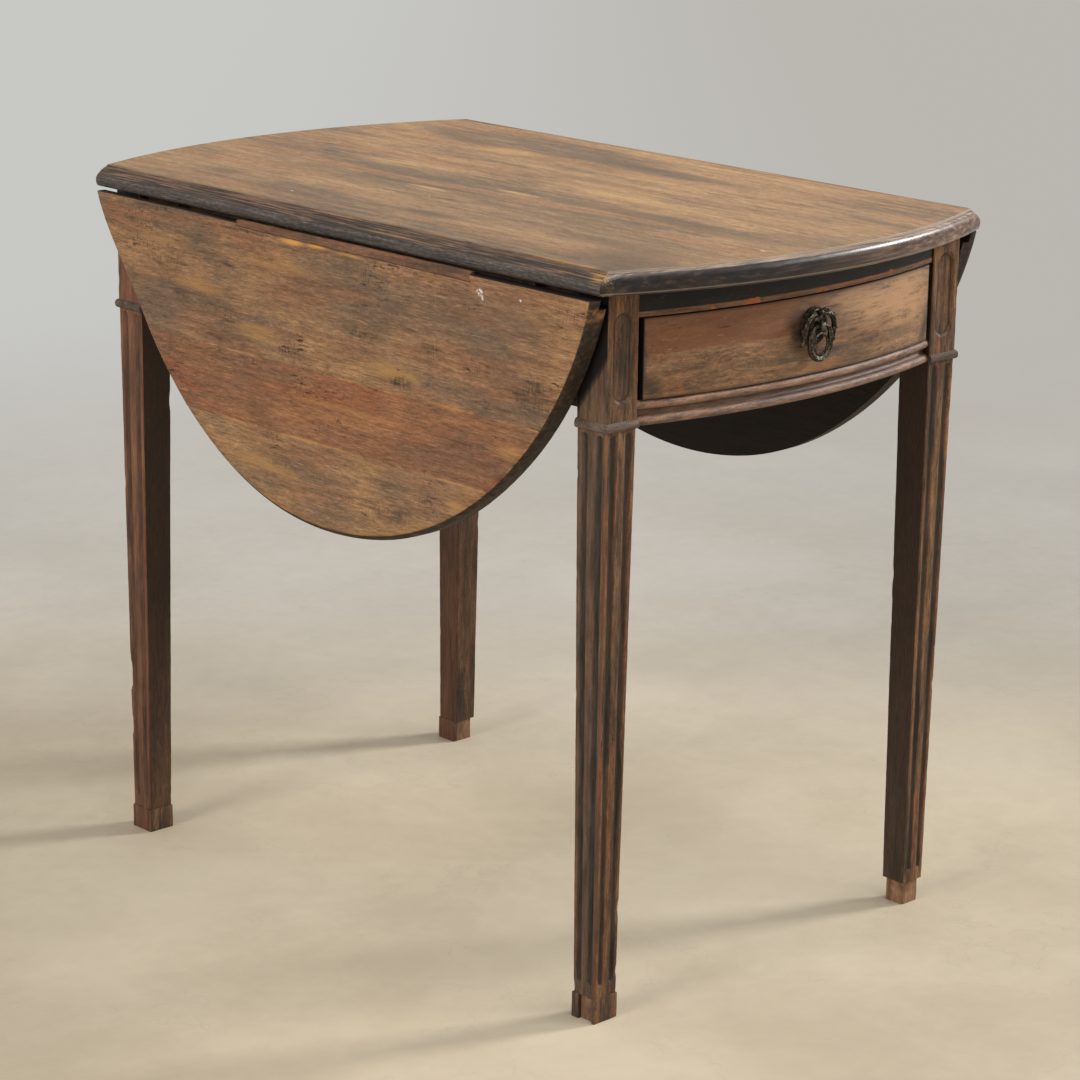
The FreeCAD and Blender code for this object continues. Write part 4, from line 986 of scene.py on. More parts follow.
def hinge_pockets(way):
    """Boxes in the underside of the top for the hinges of one side."""
    boxes = []
    for y in (-HINGE_Y, HINGE_Y):
        for inner, outer, half, height in HINGE_POCKETS:
            x = sorted((way * inner, way * outer))
            boxes.append(((x[0], y - half, UNDERSIDE - 0.001), (x[1], y + half, UNDERSIDE + height)))
    return boxes


def build_top(material):
    """Both boards of the fixed top, with pockets for the hinges."""
    for side, way in (("left", -1), ("right", 1)):
        mesh = new_mesh("top_" + side, *top_board(way), 30.0)
        mesh = cut_away(mesh, hinge_pockets(way))
        finish_mesh(mesh, 30.0)
        add_piece("worn_top_" + side, mesh, material, "frame", "top_wood", "top_board_" + side)


# Legs

# Heights of the flutes, and half widths of the block, the bare foot, the foot with its facings, and both
# ends of the taper
FLUTE_LOW = 0.042
FLUTE_HIGH = 0.5877
BLOCK_HALF = 0.020
FOOT_HALF = 0.01175
FACING_HALF = 0.01575
TAPER_LOW_HALF = 0.01475
TAPER_HIGH_HALF = 0.0195

# Rounding of a leg's arrises, and how far in from them their wear reaches
LEG_ROUNDING = 0.0012
WEAR_REACH = 0.0036

# Sunk panel of the block: heights of the middles of its round ends, radius, depth and width of its slope
PANEL_LOW = 0.6335
PANEL_HIGH = 0.6945
PANEL_RADIUS = 0.0135
PANEL_DEPTH = 0.0026
PANEL_SLOPE = 0.0022

# Line on the side of the block above which the shadow of a hanging leaf is painted: height at its middle and
# slant
LEAF_SHADOW_Z = 0.6355
LEAF_SHADOW_SLANT = 1.40


def taper_half(z):
    """Half width of the tapering part of a leg."""
    share = (z - FOOT_TOP) / (COLLAR_LOW - FOOT_TOP)
    return TAPER_LOW_HALF + (TAPER_HIGH_HALF - TAPER_LOW_HALF) * share


def leg_heights():
    """Levels of the leg's rings with the half width and the part they belong to."""
    levels = [(z * MM, FOOT_HALF, "foot") for z in (0, 3, 8, 13, 18, 23, 26)]
    z = FOOT_TOP
    while z < COLLAR_LOW - 0.0002:
        levels.append((z, taper_half(z), "taper"))
        near_end = min(abs(z - FLUTE_LOW), abs(z - FLUTE_HIGH)) < 0.006
        z += 0.001 if near_end else 0.004
    levels.append((COLLAR_LOW, taper_half(COLLAR_LOW), "taper"))
    z = COLLAR_LOW
    while z < UNDERSIDE:
        levels.append((z, BLOCK_HALF, "block"))
        z += 0.0014
    levels.append((UNDERSIDE, BLOCK_HALF, "block"))
    return levels


def flute_depth(offset, z):
    """Depth of the two flutes of an outer face, and how far down the flute it is."""
    share = min(1.0, max(0.0, (z - FLUTE_LOW) / (FLUTE_HIGH - FLUTE_LOW)))
    half_width = (3.7 + 1.1 * share) * MM
    centre = (7.4 + 2.6 * share) * MM
    deepest = 0.45 * half_width
    radius = (half_width ** 2 + deepest ** 2) / (2 * deepest)
    beyond = max(0.0, z - FLUTE_HIGH, FLUTE_LOW - z)
    aside = math.hypot(abs(offset) - centre, beyond)
    if aside >= half_width:
        return 0.0, 0.0
    depth = math.sqrt(radius ** 2 - aside ** 2) - radius + deepest
    return depth, (depth / deepest) ** 0.7


def panel_depth(offset, z):
    """Depth of the round-ended sunk panel of the block, and how dark it is inside, darkest just inside its
    rim.
    """
    inside = PANEL_RADIUS - math.hypot(offset, z - min(max(z, PANEL_LOW), PANEL_HIGH))
    rim_dark = 0.0
    if inside > 0.0018:
        rim_dark = 0.35 + 0.5 * max(0.0, 1.0 - abs(inside - 0.0030) / 0.0022)
    return PANEL_DEPTH * eased(inside, 0.0, PANEL_SLOPE), rim_dark


def carving(side, part, offset, z):
    """Depth of the carving on one side of a leg, and how dark it is there, up to a painted shadow of the
    hanging leaf on the block's outer side.
    """
    if part == "taper" and side < 2:
        return flute_depth(offset, z)
    if part == "block" and side == 0:
        return panel_depth(offset, z)
    if part == "block" and side == 1:
        # Painted shadow of the hanging leaf on the side of the block.
        return 0.0, 2.0 * eased(z - LEAF_SHADOW_Z + LEAF_SHADOW_SLANT * offset, -0.004, 0.010)
    return 0.0, 0.0


def leg_section():
    """Places round the leg: side number, its two directions, how far along, and the angle at a corner."""
    sides = [((0, -1), (1, 0)), ((1, 0), (0, 1)), ((0, 1), (-1, 0)), ((-1, 0), (0, -1))]
    places = []
    for number, (out, along) in enumerate(sides):
        steps = 44 if number < 2 else 10
        for step in range(steps + 1):
            places.append((number, Vector(out), Vector(along), 2.0 * step / steps - 1.0, None))
        for angle in (22.5, 45.0, 67.5):
            places.append((number, Vector(out), Vector(along), 1.0, math.radians(angle)))
    return places


# Bites out of the outermost arris: height, half length and depth
LEG_BITES = {
    "back_left": ((0.178, 0.015, 0.0042), (0.120, 0.012, 0.0014)),
    "front_left": ((0.395, 0.010, 0.0012),),
}

# How clean the bare wood of each foot is
RAW_FEET = {"front_left": 0.6, "front_right": 1.0, "back_left": 0.3, "back_right": 0.6}


def leg_points(corner, seed):
    """Points of the front right leg with their marks, and with the bites of the named corner."""
    points = []
    marks = {"groove": [], "wear": [], "inner_shade": [], "core": []}
    for z, half, part in leg_heights():
        flat = half - LEG_ROUNDING
        # Painted shade on the inner faces: strongest high up under the table, weaker on the back right leg.
        dim = min(1.0, 0.55 + 1.5 * z) * (0.6 if corner == "back_right" else 1.0)
        for side, out, along, reach, angle in leg_section():
            offset = reach * flat
            if angle is None:
                push = out
                spot = out * half + along * offset
                depth, hollow = carving(side, part, offset, z)
            else:
                push = out * math.cos(angle) + along * math.sin(angle)
                spot = (out + along) * flat + push * LEG_ROUNDING
                depth, hollow = 0.0, 0.0
            place = Vector((spot.x, spot.y, z))
            edge = max(0.0, 1.0 - (half - abs(offset)) / WEAR_REACH)
            depth += uneven(place, 0.07, 0.00025, seed)
            depth += edge * (chipped(place, 0.020, 0.35, 0.0022, seed) + uneven(place, 0.009, 0.0003, seed))
            if outer_corner(side, reach):
                for height, length, deep in LEG_BITES.get(corner, ()):
                    bite = max(0.0, 1.0 - ((z - height) / length) ** 2)
                    depth += edge * deep * min(1.0, 2.5 * bite)
            spot = spot - push * depth
            points.append((LEG_X + spot.x, -LEG_Y + spot.y, z))
            inner_face = side > 1 and not (side == 3 and angle is not None)
            marks["groove"].append(hollow)
            marks["wear"].append(edge * (1.0 if side < 2 else 0.4) * (0.65 if part == "block" else 1.0))
            marks["inner_shade"].append(dim if inner_face and part != "foot" else 0.0)
            marks["core"].append(RAW_FEET[corner] if part == "foot" else 0.0)
    return points, marks


def outer_corner(side, reach):
    """True beside the corner between the two outer faces."""
    return (side == 0 and reach > 0.0) or (side == 1 and reach < 0.0)


CORNERS = ("front_left", "front_right", "back_left", "back_right")


def add_at_corner(title, corner, points, faces, material, node, **marks):
    """Piece of dark wood, given for the front right corner and mirrored to the named one."""
    way_x = 1 if corner.endswith("right") else -1
    way_y = 1 if corner.startswith("front") else -1
    points = [(way_x * x, way_y * y, z) for x, y, z in points]
    mesh = new_mesh(title + corner, points, faces, 40.0, **marks)
    add_piece("worn_" + title + corner, mesh, material, "frame", "dark_wood", node + corner)


def build_legs(material):
    """Four legs, each with its own wear."""
    count = len(leg_section())
    for number, corner in enumerate(CORNERS):
        points, marks = leg_points(corner, 11.0 + 5.3 * number)
        faces = capped_rings(len(points) // count, count)
        add_at_corner("leg_", corner, points, faces, material, "leg_", **marks)


# Section of a collar: how far it stands out, and the height
COLLAR_SECTION = (
    (-0.0012, 0.5948), (0.0013, 0.5950), (0.0024, 0.5960), (0.0029, 0.5978),
    (0.0029, 0.6000), (0.0024, 0.6020), (0.0012, 0.6036), (-0.0012, 0.6044),
)


def collar_points(seed):
    """Moulding mitred round the two outer faces of the front right leg."""
    steps = 18
    points = []
    for face in (0, 1):
        for step in range(steps + 1 - face):
            share = (step + face) / steps
            for out, z in COLLAR_SECTION:
                out += uneven((share * 0.04 + face, z, 0.0), 0.006, 0.00035, seed) if out > 0 else 0.0
                length = 2 * BLOCK_HALF + out
                if face == 0:
                    x, y = -BLOCK_HALF + length * share, -BLOCK_HALF - out
                else:
                    x, y = BLOCK_HALF + out, BLOCK_HALF - length * (1.0 - share)
                points.append((LEG_X + x, -LEG_Y + y, z))
    return points


def build_collars(material):
    """Collar of each leg."""
    count = len(COLLAR_SECTION)
    for number, corner in enumerate(CORNERS):
        points = collar_points(2.0 + number)
        faces = capped_rings(len(points) // count, count)
        add_at_corner("collar_", corner, points, faces, material, "collar_")


# Facings left on each foot, as spans of x and y about the leg of the front right corner
FACINGS = {
    "outer_end": ((-FACING_HALF, FACING_HALF), (-FACING_HALF, -FOOT_HALF)),
    "inner_end": ((-FACING_HALF, FACING_HALF), (FOOT_HALF, FACING_HALF)),
    "inner_side": ((-FACING_HALF, -FOOT_HALF), (-FOOT_HALF, FOOT_HALF)),
    "outer_side": ((FOOT_HALF, FACING_HALF), (-FOOT_HALF, FOOT_HALF)),
    "broken_outer_side": ((FOOT_HALF, FACING_HALF), (FOOT_HALF - 0.0055, FOOT_HALF)),
}
FOOT_FACINGS = {
    "front_left": ("outer_end", "inner_end", "inner_side", "broken_outer_side"),
    "back_left": ("outer_end", "inner_end", "inner_side", "outer_side"),
    "back_right": ("outer_end", "inner_side"),
}


def worn_slab(low, high, seed):
    """Thin board with rounded, uneven edges, and the wear of each point."""
    form = bmesh.new()
    bmesh.ops.create_cube(form, size=1.0)
    for corner in form.verts:
        for axis in range(3):
            corner.co[axis] = high[axis] if corner.co[axis] > 0 else low[axis]
    bmesh.ops.bevel(form, geom=form.edges[:], offset=0.0008, segments=2, profile=0.6, affect="EDGES")
    bmesh.ops.subdivide_edges(form, edges=form.edges[:], cuts=2, use_grid_fill=True)
    points, wear = [], []
    for corner in form.verts:
        place = corner.co
        near = [min(place[axis] - low[axis], high[axis] - place[axis]) < 0.0010 for axis in range(3)]
        point = place.copy()
        for axis in range(3):
            point[axis] += uneven(place, 0.005, 0.00025, seed + axis)
        point.z = max(point.z, 0.0)
        points.append(point)
        wear.append(1.0 if sum(near) > 1 and place.z > 0.004 else 0.0)
    faces = [tuple(vertex.index for vertex in face.verts) for face in form.faces]
    form.free()
    return points, faces, wear


def build_facings(material):
    """Facings that are left on the feet."""
    for corner, names in FOOT_FACINGS.items():
        parts, wear = [], []
        for number, name in enumerate(names):
            (x0, x1), (y0, y1) = FACINGS[name]
            low = Vector((LEG_X + x0, -LEG_Y + y0, 0.0))
            high = Vector((LEG_X + x1, -LEG_Y + y1, FOOT_TOP))
            points, faces, worn = worn_slab(low, high, 3.0 * number)
            parts.append((points, faces))
            wear += worn
        add_at_corner("facings_", corner, *gather(parts), material, "foot_facings_", wear=wear)


# Repair strip of the left leaf

# Upper part of the strip's section, from its outer face over the top to its inner face
STRIP_SECTION = ((0.2784, 0.7260), (0.2776, 0.7271), (0.2742, 0.7271), (0.2737, 0.7262))


def build_strip(material):
    """Strip let into the hinge edge of the left leaf; it stands a little higher than the leaf."""
    steps = 70
    points = []
    for step in range(steps + 1):
        y = STRIP_MIDDLE + STRIP_HALF * (2.0 * step / steps - 1.0)
        low = STRIP_LOW + STRIP_RISE * y
        ends = 0.0005 if step in (0, steps) else 0.0
        section = ((STRIP_SECTION[0][0], low), *STRIP_SECTION, (STRIP_SECTION[-1][0], low))
        for x, z in section:
            shift = uneven((y, z, 0.0), 0.02, 0.00025, 4.0)
            points.append((-x + ends + shift * 0.5, y, z - ends + (shift if z > low else 0.0)))
    mesh = new_mesh("edge_strip", points, capped_rings(steps + 1, len(section)), 40.0)
    add_piece("worn_edge_strip", mesh, material, "left_leaf", "leaf_wood")


# Drawer pull

OUTWARD = Vector((0, -1, 0))
SIDEWAYS = Vector((1, 0, 0))


def lathe(profile, centre, axis, across, segments=32):
    """Rings about an axis: the profile holds radius and distance along the axis."""
    other = axis.cross(across)
    points = []
    for radius, distance in profile:
        for number in range(segments):
            angle = 2.0 * math.pi * number / segments
            out = across * math.cos(angle) + other * math.sin(angle)
            points.append(Vector(centre) + axis * distance + out * radius)
    return points, capped_rings(len(profile), segments)


def gather(parts):
    """One list of points and faces from several."""
    points, faces = [], []
    for more_points, more_faces in parts:
        start = len(points)
        points += list(more_points)
        faces += [tuple(start + index for index in face) for face in more_faces]
    return points, faces


def tube(path, radii, flat=1.0, segments=10, closed=False):
    """Bar along a path; flat squeezes it from front to back."""
    points = []
    count = len(path)
    for number, here in enumerate(path):
        before = path[number - 1] if number or closed else here
        after = path[(number + 1) % count] if number < count - 1 or closed else here
        along = (after - before).normalized()
        wide = along.cross(OUTWARD).normalized()
        deep = wide.cross(along).normalized() * flat
        for step in range(segments):
            angle = 2.0 * math.pi * step / segments
            points.append(here + (wide * math.cos(angle) + deep * math.sin(angle)) * radii[number])
    if not closed:
        return points, capped_rings(count, segments)
    faces = ring_faces(count, segments)
    last = (count - 1) * segments
    for step in range(segments):
        after = (step + 1) % segments
        faces.append((last + step, last + after, after, step))
    return points, faces


def leaf_blade(root, direction, length, width, lift):
    """Small pointed leaf with a raised midrib, lying on the plate."""
    direction = direction.normalized()
    wide = direction.cross(OUTWARD).normalized()
    # Place along the leaf, spread and rise of its cross rows
    rows = ((0.0, 0.25, 0.2), (0.25, 0.85, 0.8), (0.5, 1.0, 1.0), (0.75, 0.7, 0.8), (1.0, 0.08, 0.3))
    points = []
    for along, spread, rise in rows:
        middle = root + direction * length * along
        for across, share in ((-1.0, 0.0), (-0.5, 0.55), (0.0, 1.0), (0.5, 0.55), (1.0, 0.0)):
            points.append(middle + wide * across * width * spread / 2 + OUTWARD * lift * rise * share)
    count = 5
    faces = [face[::-1] for face in ring_faces(len(rows), count, closed=False)]
    floor = [index + len(points) for index in range(len(points))]
    points += [point - OUTWARD * 0.0006 for point in points]
    faces += [tuple(floor[index] for index in face[::-1]) for face in faces[:]]
    rim = [row * count for row in range(len(rows))]
    rim += [len(floor) - count + step for step in range(1, count)]
    rim += [row * count + count - 1 for row in range(len(rows) - 2, -1, -1)]
    rim += [step for step in range(count - 2, 0, -1)]
    for here, after in zip(rim, rim[1:] + rim[:1]):
        faces.append((here, after, floor[after], floor[here]))
    return points, faces


PLATE_Z = PULL_Z - 0.0010
PLATE_WIDE = 0.0185
PLATE_TALL = 0.0195


def on_plate(angle, share, out):
    """Point on the oval backplate: angle from the top, share of its radius, and how far it stands out."""
    return Vector((
        math.sin(angle) * PLATE_WIDE * share,
        PULL_Y - out,
        PLATE_Z + math.cos(angle) * PLATE_TALL * share,
    ))


def ball(radius):
    """Profile of a small ball for the lathe."""
    angles = [math.radians(-84.0 + 24.0 * step) for step in range(8)]
    return [(radius * math.cos(angle), radius * math.sin(angle)) for angle in angles]


def bead(radius, centre):
    """Small ball of the ornament."""
    return lathe(ball(radius), centre, OUTWARD, SIDEWAYS, 10)


# Stem of the scroll on one side of the pull: distance from the middle, height, standing out, and radius
SCROLL = (
    (0.0030, 0.6790, 0.0065, 0.0020),
    (0.0070, 0.6812, 0.0080, 0.0026),
    (0.0120, 0.6806, 0.0090, 0.0029),
    (0.0165, 0.6776, 0.0092, 0.0030),
    (0.0195, 0.6730, 0.0090, 0.0029),
    (0.0208, 0.6676, 0.0086, 0.0028),
    (0.0209, 0.6618, 0.0080, 0.0027),
    (0.0206, 0.6566, 0.0072, 0.0025),
    (0.0212, 0.6524, 0.0062, 0.0020),
    (0.0224, 0.6500, 0.0052, 0.0012),
)


def scroll(way):
    """Ribbon scroll with leaf lobes round one side of the ring."""
    path = [Vector((way * x, PULL_Y - out, z)) for x, z, out, _ in SCROLL]
    parts = [tube(path, [radius for *_, radius in SCROLL], 0.9, 12)]
    ridge = [point + OUTWARD * radius * 0.75 for point, (*_, radius) in zip(path, SCROLL)]
    parts.append(tube(ridge, [radius * 0.42 for *_, radius in SCROLL], 1.0, 8))
    for number in (3, 5, 7):
        along = (path[number] - path[number - 1]).normalized()
        outward = Vector((along.z, 0, -along.x)) * -way
        parts.append(leaf_blade(path[number], along + outward * 0.6, 0.0062, 0.0056, 0.0030))
    return parts


def bow_loop(way):
    """One loop of the ribbon bow."""
    path, radii = [], []
    for step in range(17):
        turn = math.radians(-155.0 + 310.0 * step / 16)
        x = 0.0058 + 0.0052 * math.cos(turn)
        z = 0.6828 + 0.0027 * math.sin(turn) + 0.0010 * math.cos(turn)
        path.append(Vector((way * x, PULL_Y - 0.0092 - 0.0012 * math.cos(turn), z)))
        radii.append(0.0014)
    return tube(path, radii, 0.7)


# Section of the oval backplate from its rim inward: share of its radius, and standing out
PLATE_SECTION = (
    (0.94, 0.0), (1.0, 0.0010), (0.98, 0.0024), (0.90, 0.0028),
    (0.82, 0.0022), (0.72, 0.0014), (0.45, 0.0016), (0.05, 0.0018),
)


def backplate():
    """Oval plate with a raised rim, ribbon scrolls with leaves, and a bow."""
    segments = 48
    points = []
    for share, out in PLATE_SECTION:
        points += [on_plate(2.0 * math.pi * number / segments, share, out) for number in range(segments)]
    parts = [(points, capped_rings(len(PLATE_SECTION), segments))]
    for number in range(20):
        parts.append(bead(0.0010, on_plate(2.0 * math.pi * (number + 0.5) / 20, 0.80, 0.0028)))
    for way in (-1, 1):
        parts += scroll(way)
        parts.append(bow_loop(way))
    knot = Vector((0, PULL_Y - 0.0100, 0.6828))
    parts.append(bead(0.0029, knot))
    parts.append(leaf_blade(knot + Vector((0, 0, -0.002)), Vector((0, 0, -1)), 0.0075, 0.0052, 0.0022))
    parts.append(tube([knot, knot + Vector((0, 0.0092, -0.003))], [0.0022, 0.0026]))
    return gather(parts)


# Turned parts behind the ring: radius, and distance along the axis
ROSETTE = (
    (0.0062, 0.0010), (0.0066, 0.0022), (0.0052, 0.0030),
    (0.0038, 0.0034), (0.0034, 0.0052), (0.0034, 0.0085),
)
STUD = ((0.0025, -0.0505), (0.0025, 0.0015))
EYE = (
    (0.0040, -0.0035), (0.0048, -0.0032), (0.0052, -0.0022), (0.0050, 0.0),
    (0.0052, 0.0022), (0.0048, 0.0032), (0.0040, 0.0035),
)


def pull_post():
    """Rosette, eye and stud that carry the ring."""
    return gather([
        lathe(ROSETTE, (0, PULL_Y, PULL_Z), OUTWARD, SIDEWAYS, 28),
        lathe(STUD, (0, PULL_Y, PULL_Z), OUTWARD, SIDEWAYS, 20),
        lathe(EYE, (0, EYE_Y, PULL_Z), SIDEWAYS, -OUTWARD, 24),
    ])


RING_HALF = 0.0140
RING_SHOULDER = 0.0090
RING_LOW = 0.6510


def ring_path():
    """Centre line of the hanging ring: a short bar, two shoulders, two sides and a half round."""
    bar = RING_HALF - RING_SHOULDER
    shoulder_z = PULL_Z - RING_SHOULDER
    right = [(bar * step / 3, PULL_Z) for step in range(4)]
    for step in range(1, 9):
        turn = math.radians(90.0 - 90.0 * step / 8)
        right.append((bar + RING_SHOULDER * math.cos(turn), shoulder_z + RING_SHOULDER * math.sin(turn)))
    right += [(RING_HALF, shoulder_z - 0.003 * step) for step in (1, 2)]
    for step in range(13):
        turn = math.radians(-90.0 * step / 12)
        right.append((RING_HALF * math.cos(turn), RING_LOW + RING_HALF * math.sin(turn)))
    left = [(-x, z) for x, z in reversed(right[1:-1])]
    return [Vector((x, EYE_Y, z)) for x, z in right + left]


def pull_ring():
    """Moulded ring with a ridge, a beaded inner rim and a leaf on each shoulder."""
    path = ring_path()
    radii = []
    for point in path:
        share = min(1.0, max(0.0, (PULL_Z - 0.0015 - point.z) / 0.010))
        radii.append(0.0021 + 0.0011 * share)
    parts = [tube(path, radii, 0.85, 16, closed=True)]
    centre = Vector((0, EYE_Y, RING_LOW))
    rib = []
    for point, radius in zip(path, radii):
        outward = (point - centre).normalized()
        rib.append(point + outward * radius * 0.15 + OUTWARD * radius * 0.70)
    parts.append(tube(rib, [radius * 0.36 for radius in radii], 1.0, 8, closed=True))
    inner = []
    for step in range(40):
        turn = 2.0 * math.pi * step / 40
        z = RING_LOW + 0.0006 + 0.0104 * math.sin(turn)
        inner.append(Vector((0.0097 * math.cos(turn), EYE_Y - 0.0004, z)))
    parts.append(tube(inner, [0.0012] * len(inner), 0.9, 8, closed=True))
    for point in inner[::2]:
        parts.append(bead(0.00095, point + (centre - point).normalized() * 0.0007 + OUTWARD * 0.0008))
    for way in (-1, 1):
        root = Vector((way * 0.0118, EYE_Y - 0.0022, PULL_Z - 0.0015))
        parts.append(leaf_blade(root, Vector((way * 0.16, 0.0, -1.0)), 0.0150, 0.0058, 0.0018))
    return gather(parts)


def build_pull(material):
    """Backplate, post and ring of the drawer's pull."""
    for name, form, crease, body, node in (
        ("pull_plate", backplate(), 45.0, "drawer", "pull_backplate"),
        ("pull_eye", pull_post(), 40.0, "drawer", "pull_post"),
        ("pull_drop", pull_ring(), 45.0, "pull_ring", "pull_ring"),
    ):
        add_piece(name, new_mesh(name, *form, crease), material, body, "pull_brass", node)


# Pieces that keep their CAD shape

def soften_nodes(names, width, material, slot, shape=None):
    """Replace nodes by copies with softened edges."""
    for node in names:
        body = frame["nodes"][node]["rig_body"]
        add_piece("worn_" + node, softened(node, width, shape), material, body, slot, node)


def paint_nodes(names, material):
    """Give nodes a material and leave their meshes as they are."""
    for node in names:
        cover(frame["nodes"][node].data, material)


def pairs(*names):
    """Names of the left and right nodes of each pair."""
    return [name + side for name in names for side in ("_left", "_right")]


def build_rest(dark_side):
    """Leaves, rails, drawer box, hinges and screws."""
    left_wood = leaf_wood("left_leaf_wood", 0.0, True, 1.0)
    right_wood = leaf_wood("right_leaf_wood", 0.37, False, 0.7)
    boards = ("inner_board", "middle_board", "outer_board")
    soften_nodes(["left_leaf_" + board for board in boards], 0.0004, left_wood, "leaf_wood", lopsided_rim)
    soften_nodes(["left_leaf_edge_patch"], 0.0005, left_wood, "leaf_wood")
    soften_nodes(["right_leaf_" + board for board in boards], 0.0004, right_wood, "leaf_wood", rounded_rim)
    soften_nodes(["front_top_rail"], 0.0008, rail_wood(), "dark_wood")
    soften_nodes(["front_bottom_rail", "back_bottom_rail"], 0.0005, bead_wood(), "dark_wood")
    soften_nodes(["back_panel"], 0.0008, dark_wood("back_wood", "xzy"), "dark_wood")
    soften_nodes(pairs("side_rail", "fly_rail", "fly_bracket"), 0.0008, dark_side, "dark_wood")
    soften_nodes(["drawer_front"], 0.0007, drawer_wood(), "drawer_wood")
    inner = plain_wood("inner_wood", "yzx", (92, 68, 48), (136, 104, 74), (168, 134, 98))
    soften_nodes(pairs("drawer_side") + ["drawer_bottom"], 0.0006, inner, "inner_wood")
    across = plain_wood("inner_wood_across", "xzy", (88, 66, 48), (130, 100, 72), (160, 128, 94))
    soften_nodes(["drawer_back", "drawer_stops", "glue_blocks"], 0.0006, across, "inner_wood")
    grimy = plain_wood("runner_wood", "yzx", (48, 36, 28), (78, 58, 43), (104, 80, 60))
    soften_nodes(pairs("drawer_runner", "drawer_guide", "drawer_kicker"), 0.0006, grimy, "inner_wood")
    iron = metal("hinge_iron", (44, 28, 20), (84, 50, 32), (122, 82, 58), 0.45, 160.0, 0.55)
    leaf_flaps = ["left_leaf_hinge_flaps", "right_leaf_hinge_flaps"]
    paint_nodes(pairs("hinge_top_flaps", "hinge_pins", "fly_pin") + leaf_flaps, iron)
    steel = metal("screw_steel", (52, 48, 44), (92, 86, 80), (138, 132, 124), 0.35, 300.0, 0.9)
    screws = ["top_screws", "hinge_top_screws", "left_leaf_hinge_screws", "right_leaf_hinge_screws"]
    paint_nodes(screws + ["pull_nut"], steel)


# Stage, camera and light

# Camera: place, and yaw, pitch and roll in degrees
CAMERA_PLACE = (-2.4003, -2.5095, 1.3463)
CAMERA_ANGLES = (45.97, 15.74, 0.93)
CAMERA_LENS = 112.34

# Slanting directions across the floor, along which its tone changes, and its half width
FLOOR_BACK = (0.695, 0.719, 0.0)
FLOOR_RIGHT = (0.719, -0.695, 0.0)
FLOOR_HALF = 60.0


def floor_surface():
    """Warm near the table, grey further back, with a painted pool of light under the table and painted shade
    towards both sides, and one plain pale tone far off.
    """
    shader = Shader("floor")
    ahead = shader.vector("DOT_PRODUCT", shader.place, FLOOR_BACK)
    aside = shader.vector("DOT_PRODUCT", shader.place, FLOOR_RIGHT)
    mottle = shader.noise(2.2, 2.2, 5, 0.6)
    patches = shader.between(mottle, 0.3, 0.7)
    near = shader.mix(patches, (192, 177, 152), (211, 197, 172))
    far = shader.mix(patches, (180, 174, 163), (190, 184, 175))
    shader.colour = shader.mix(shader.between(ahead, 0.1, 1.2), near, far)
    # Painted light: the floor is made lighter under the table, where the table's shadow falls.
    shader.shade(shader.spot(shader.place, -0.02, 0.28, 0.38, 0.50), 0.0, 1.0, 1.0, 1.23)
    shader.shade(shader.noise(38, 38, 4, 0.7), 0.3, 0.7, 0.965, 1.03)
    shader.paint((150, 140, 122), shader.near(mottle, 0.5, 0.003, 0.0005, 0.10))
    # Painted shade: the floor darkens towards the right.
    shader.shade(aside, -0.07, 0.60, 1.0, 0.84)
    # Painted shade: the near floor darkens towards the left.
    leftward_shade = shader.times(shader.between(aside, -0.16, -0.46), shader.between(ahead, 0.9, 0.4))
    shader.shade(leftward_shade, 0.0, 1.0, 1.0, 0.86)
    surface = shader.node("ShaderNodeBsdfPrincipled", {"Base Color": shader.colour, "Roughness": 0.75})
    pale = shader.mix(shader.between(aside, -1.1, 1.1), (200, 200, 197), (186, 183, 177))
    glow = shader.node("ShaderNodeEmission", {"Color": pale})
    far_off = shader.between(shader.vector("LENGTH", shader.place), 0.95, 3.2)
    blend = shader.blend(shader.times(far_off, shader.seen()), surface, glow)
    shader.node("ShaderNodeOutputMaterial", {"Surface": blend})
    return shader.material


def build_floor():
    """Wide pale floor."""
    corners = [(x * FLOOR_HALF, y * FLOOR_HALF, 0.0) for x, y in ((-1, -1), (1, -1), (1, 1), (-1, 1))]
    mesh = bpy.data.meshes.new("floor")
    mesh.from_pydata(corners, [], [(0, 1, 2, 3)])
    cover(mesh, floor_surface())
    add_object("floor", mesh)


def build_world():
    """Even light from all around, and a pale backdrop where the camera looks."""
    world = bpy.data.worlds.new("studio")
    bpy.context.scene.world = world
    world.use_nodes = True
    nodes = Nodes(world.node_tree)
    light = nodes.node("ShaderNodeBackground", {"Color": (1.0, 0.9801, 0.936, 1.0), "Strength": 0.4366})
    backdrop = nodes.node("ShaderNodeBackground", {"Color": tint(193, 191, 186), "Strength": 1.0})
    nodes.node("ShaderNodeOutputWorld", {"Surface": nodes.blend(nodes.seen(), light, backdrop)})


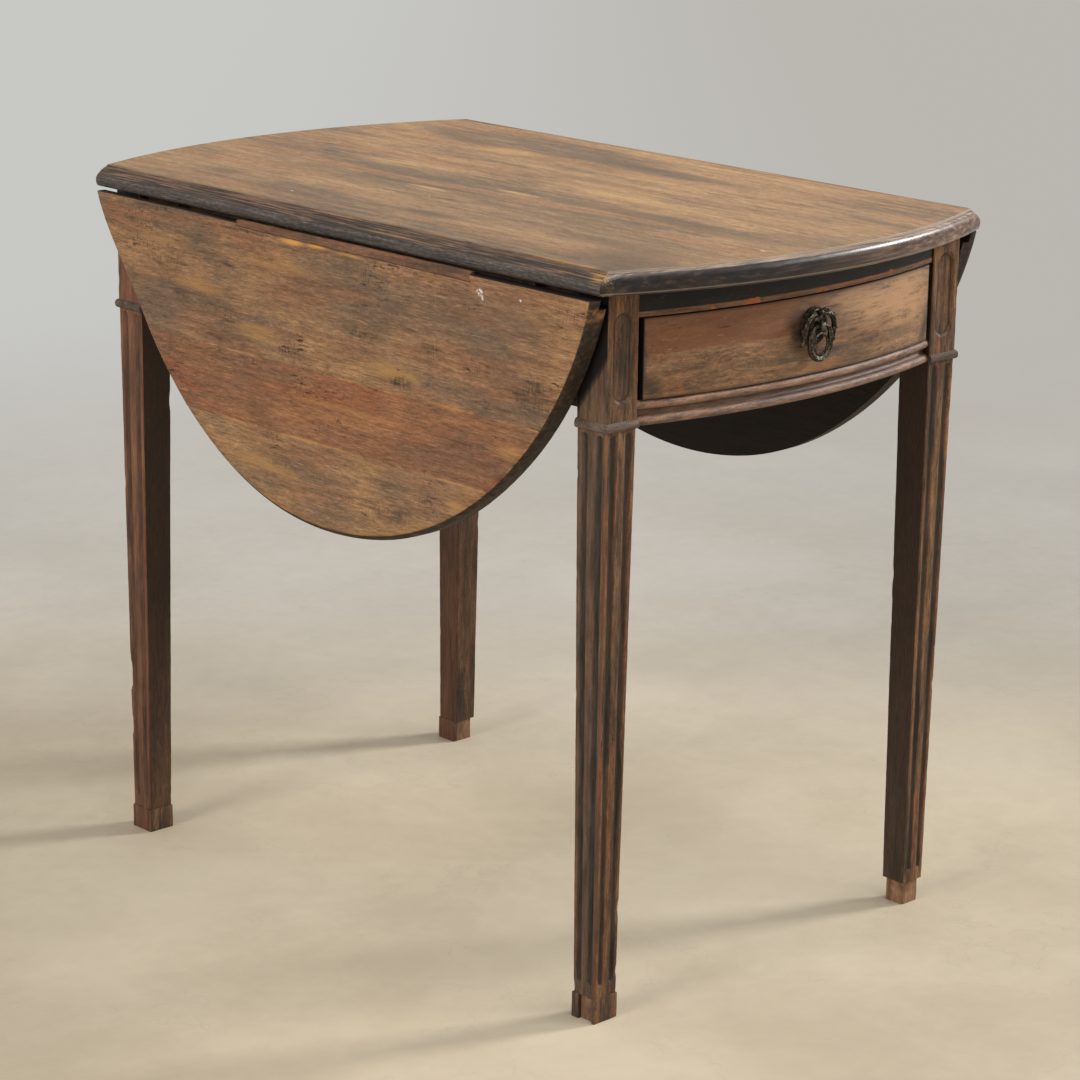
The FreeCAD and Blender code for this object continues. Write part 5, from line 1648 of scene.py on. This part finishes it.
def add_lamp(name, place, size, power):
    """Soft square lamp that points at the middle of the table."""
    data = bpy.data.lights.new(name, "AREA")
    data.shape = "SQUARE"
    data.size = size
    data.energy = power
    lamp = add_object(name, data)
    lamp.location = place
    aim = Vector((0.0, 0.0, 0.5)) - Vector(place)
    lamp.rotation_mode = "QUATERNION"
    lamp.rotation_quaternion = aim.to_track_quat("-Z", "Y")


def build_camera():
    """Camera where the photograph was taken from."""
    yaw, pitch, roll = (math.radians(angle) for angle in CAMERA_ANGLES)
    ahead = Vector((math.cos(yaw) * math.cos(pitch), math.sin(yaw) * math.cos(pitch), -math.sin(pitch)))
    right = Vector((math.sin(yaw), -math.cos(yaw), 0.0))
    above = right.cross(ahead)
    tilted_right = right * math.cos(roll) + above * math.sin(roll)
    tilted_above = above * math.cos(roll) - right * math.sin(roll)
    data = bpy.data.cameras.new("camera")
    data.sensor_width = 36.0
    data.lens = CAMERA_LENS
    camera = add_object("camera", data)
    turn = Matrix((tilted_right, tilted_above, -ahead)).transposed()
    camera.matrix_world = Matrix.Translation(CAMERA_PLACE) @ turn.to_4x4()
    bpy.context.scene.camera = camera


build_camera()
build_floor()
build_world()
add_lamp("key", (6.0, -2.6, 3.5), 1.4, 365.0)
add_lamp("fill", (-9.0, -0.3, 4.6), 2.9, 345.0)
add_lamp("front", (-4.6, -4.8, 3.0), 3.5, 55.0)
add_lamp("sheen", (4.2, -5.0, 3.2), 0.9, 34.0)
add_lamp("overhead", (0.2, -1.8, 4.8), 2.4, 74.0)
bpy.context.scene.view_settings.view_transform = "Standard"

build_top(top_wood())
build_legs(dark_wood("leg_wood", "zxy"))
build_collars(plain_wood("collar_wood", "xyz", (70, 60, 54), (104, 88, 77), (92, 71, 58)))
build_facings(dark_wood("facing_wood", "zxy", 0.4, 0.28))
build_strip(strip_wood())
build_rest(dark_wood("side_wood", "yzx", 0.2))
build_pull(metal("pull_brass", (34, 30, 26), (62, 55, 47), (128, 116, 98), 0.22, 420.0, 0.9))
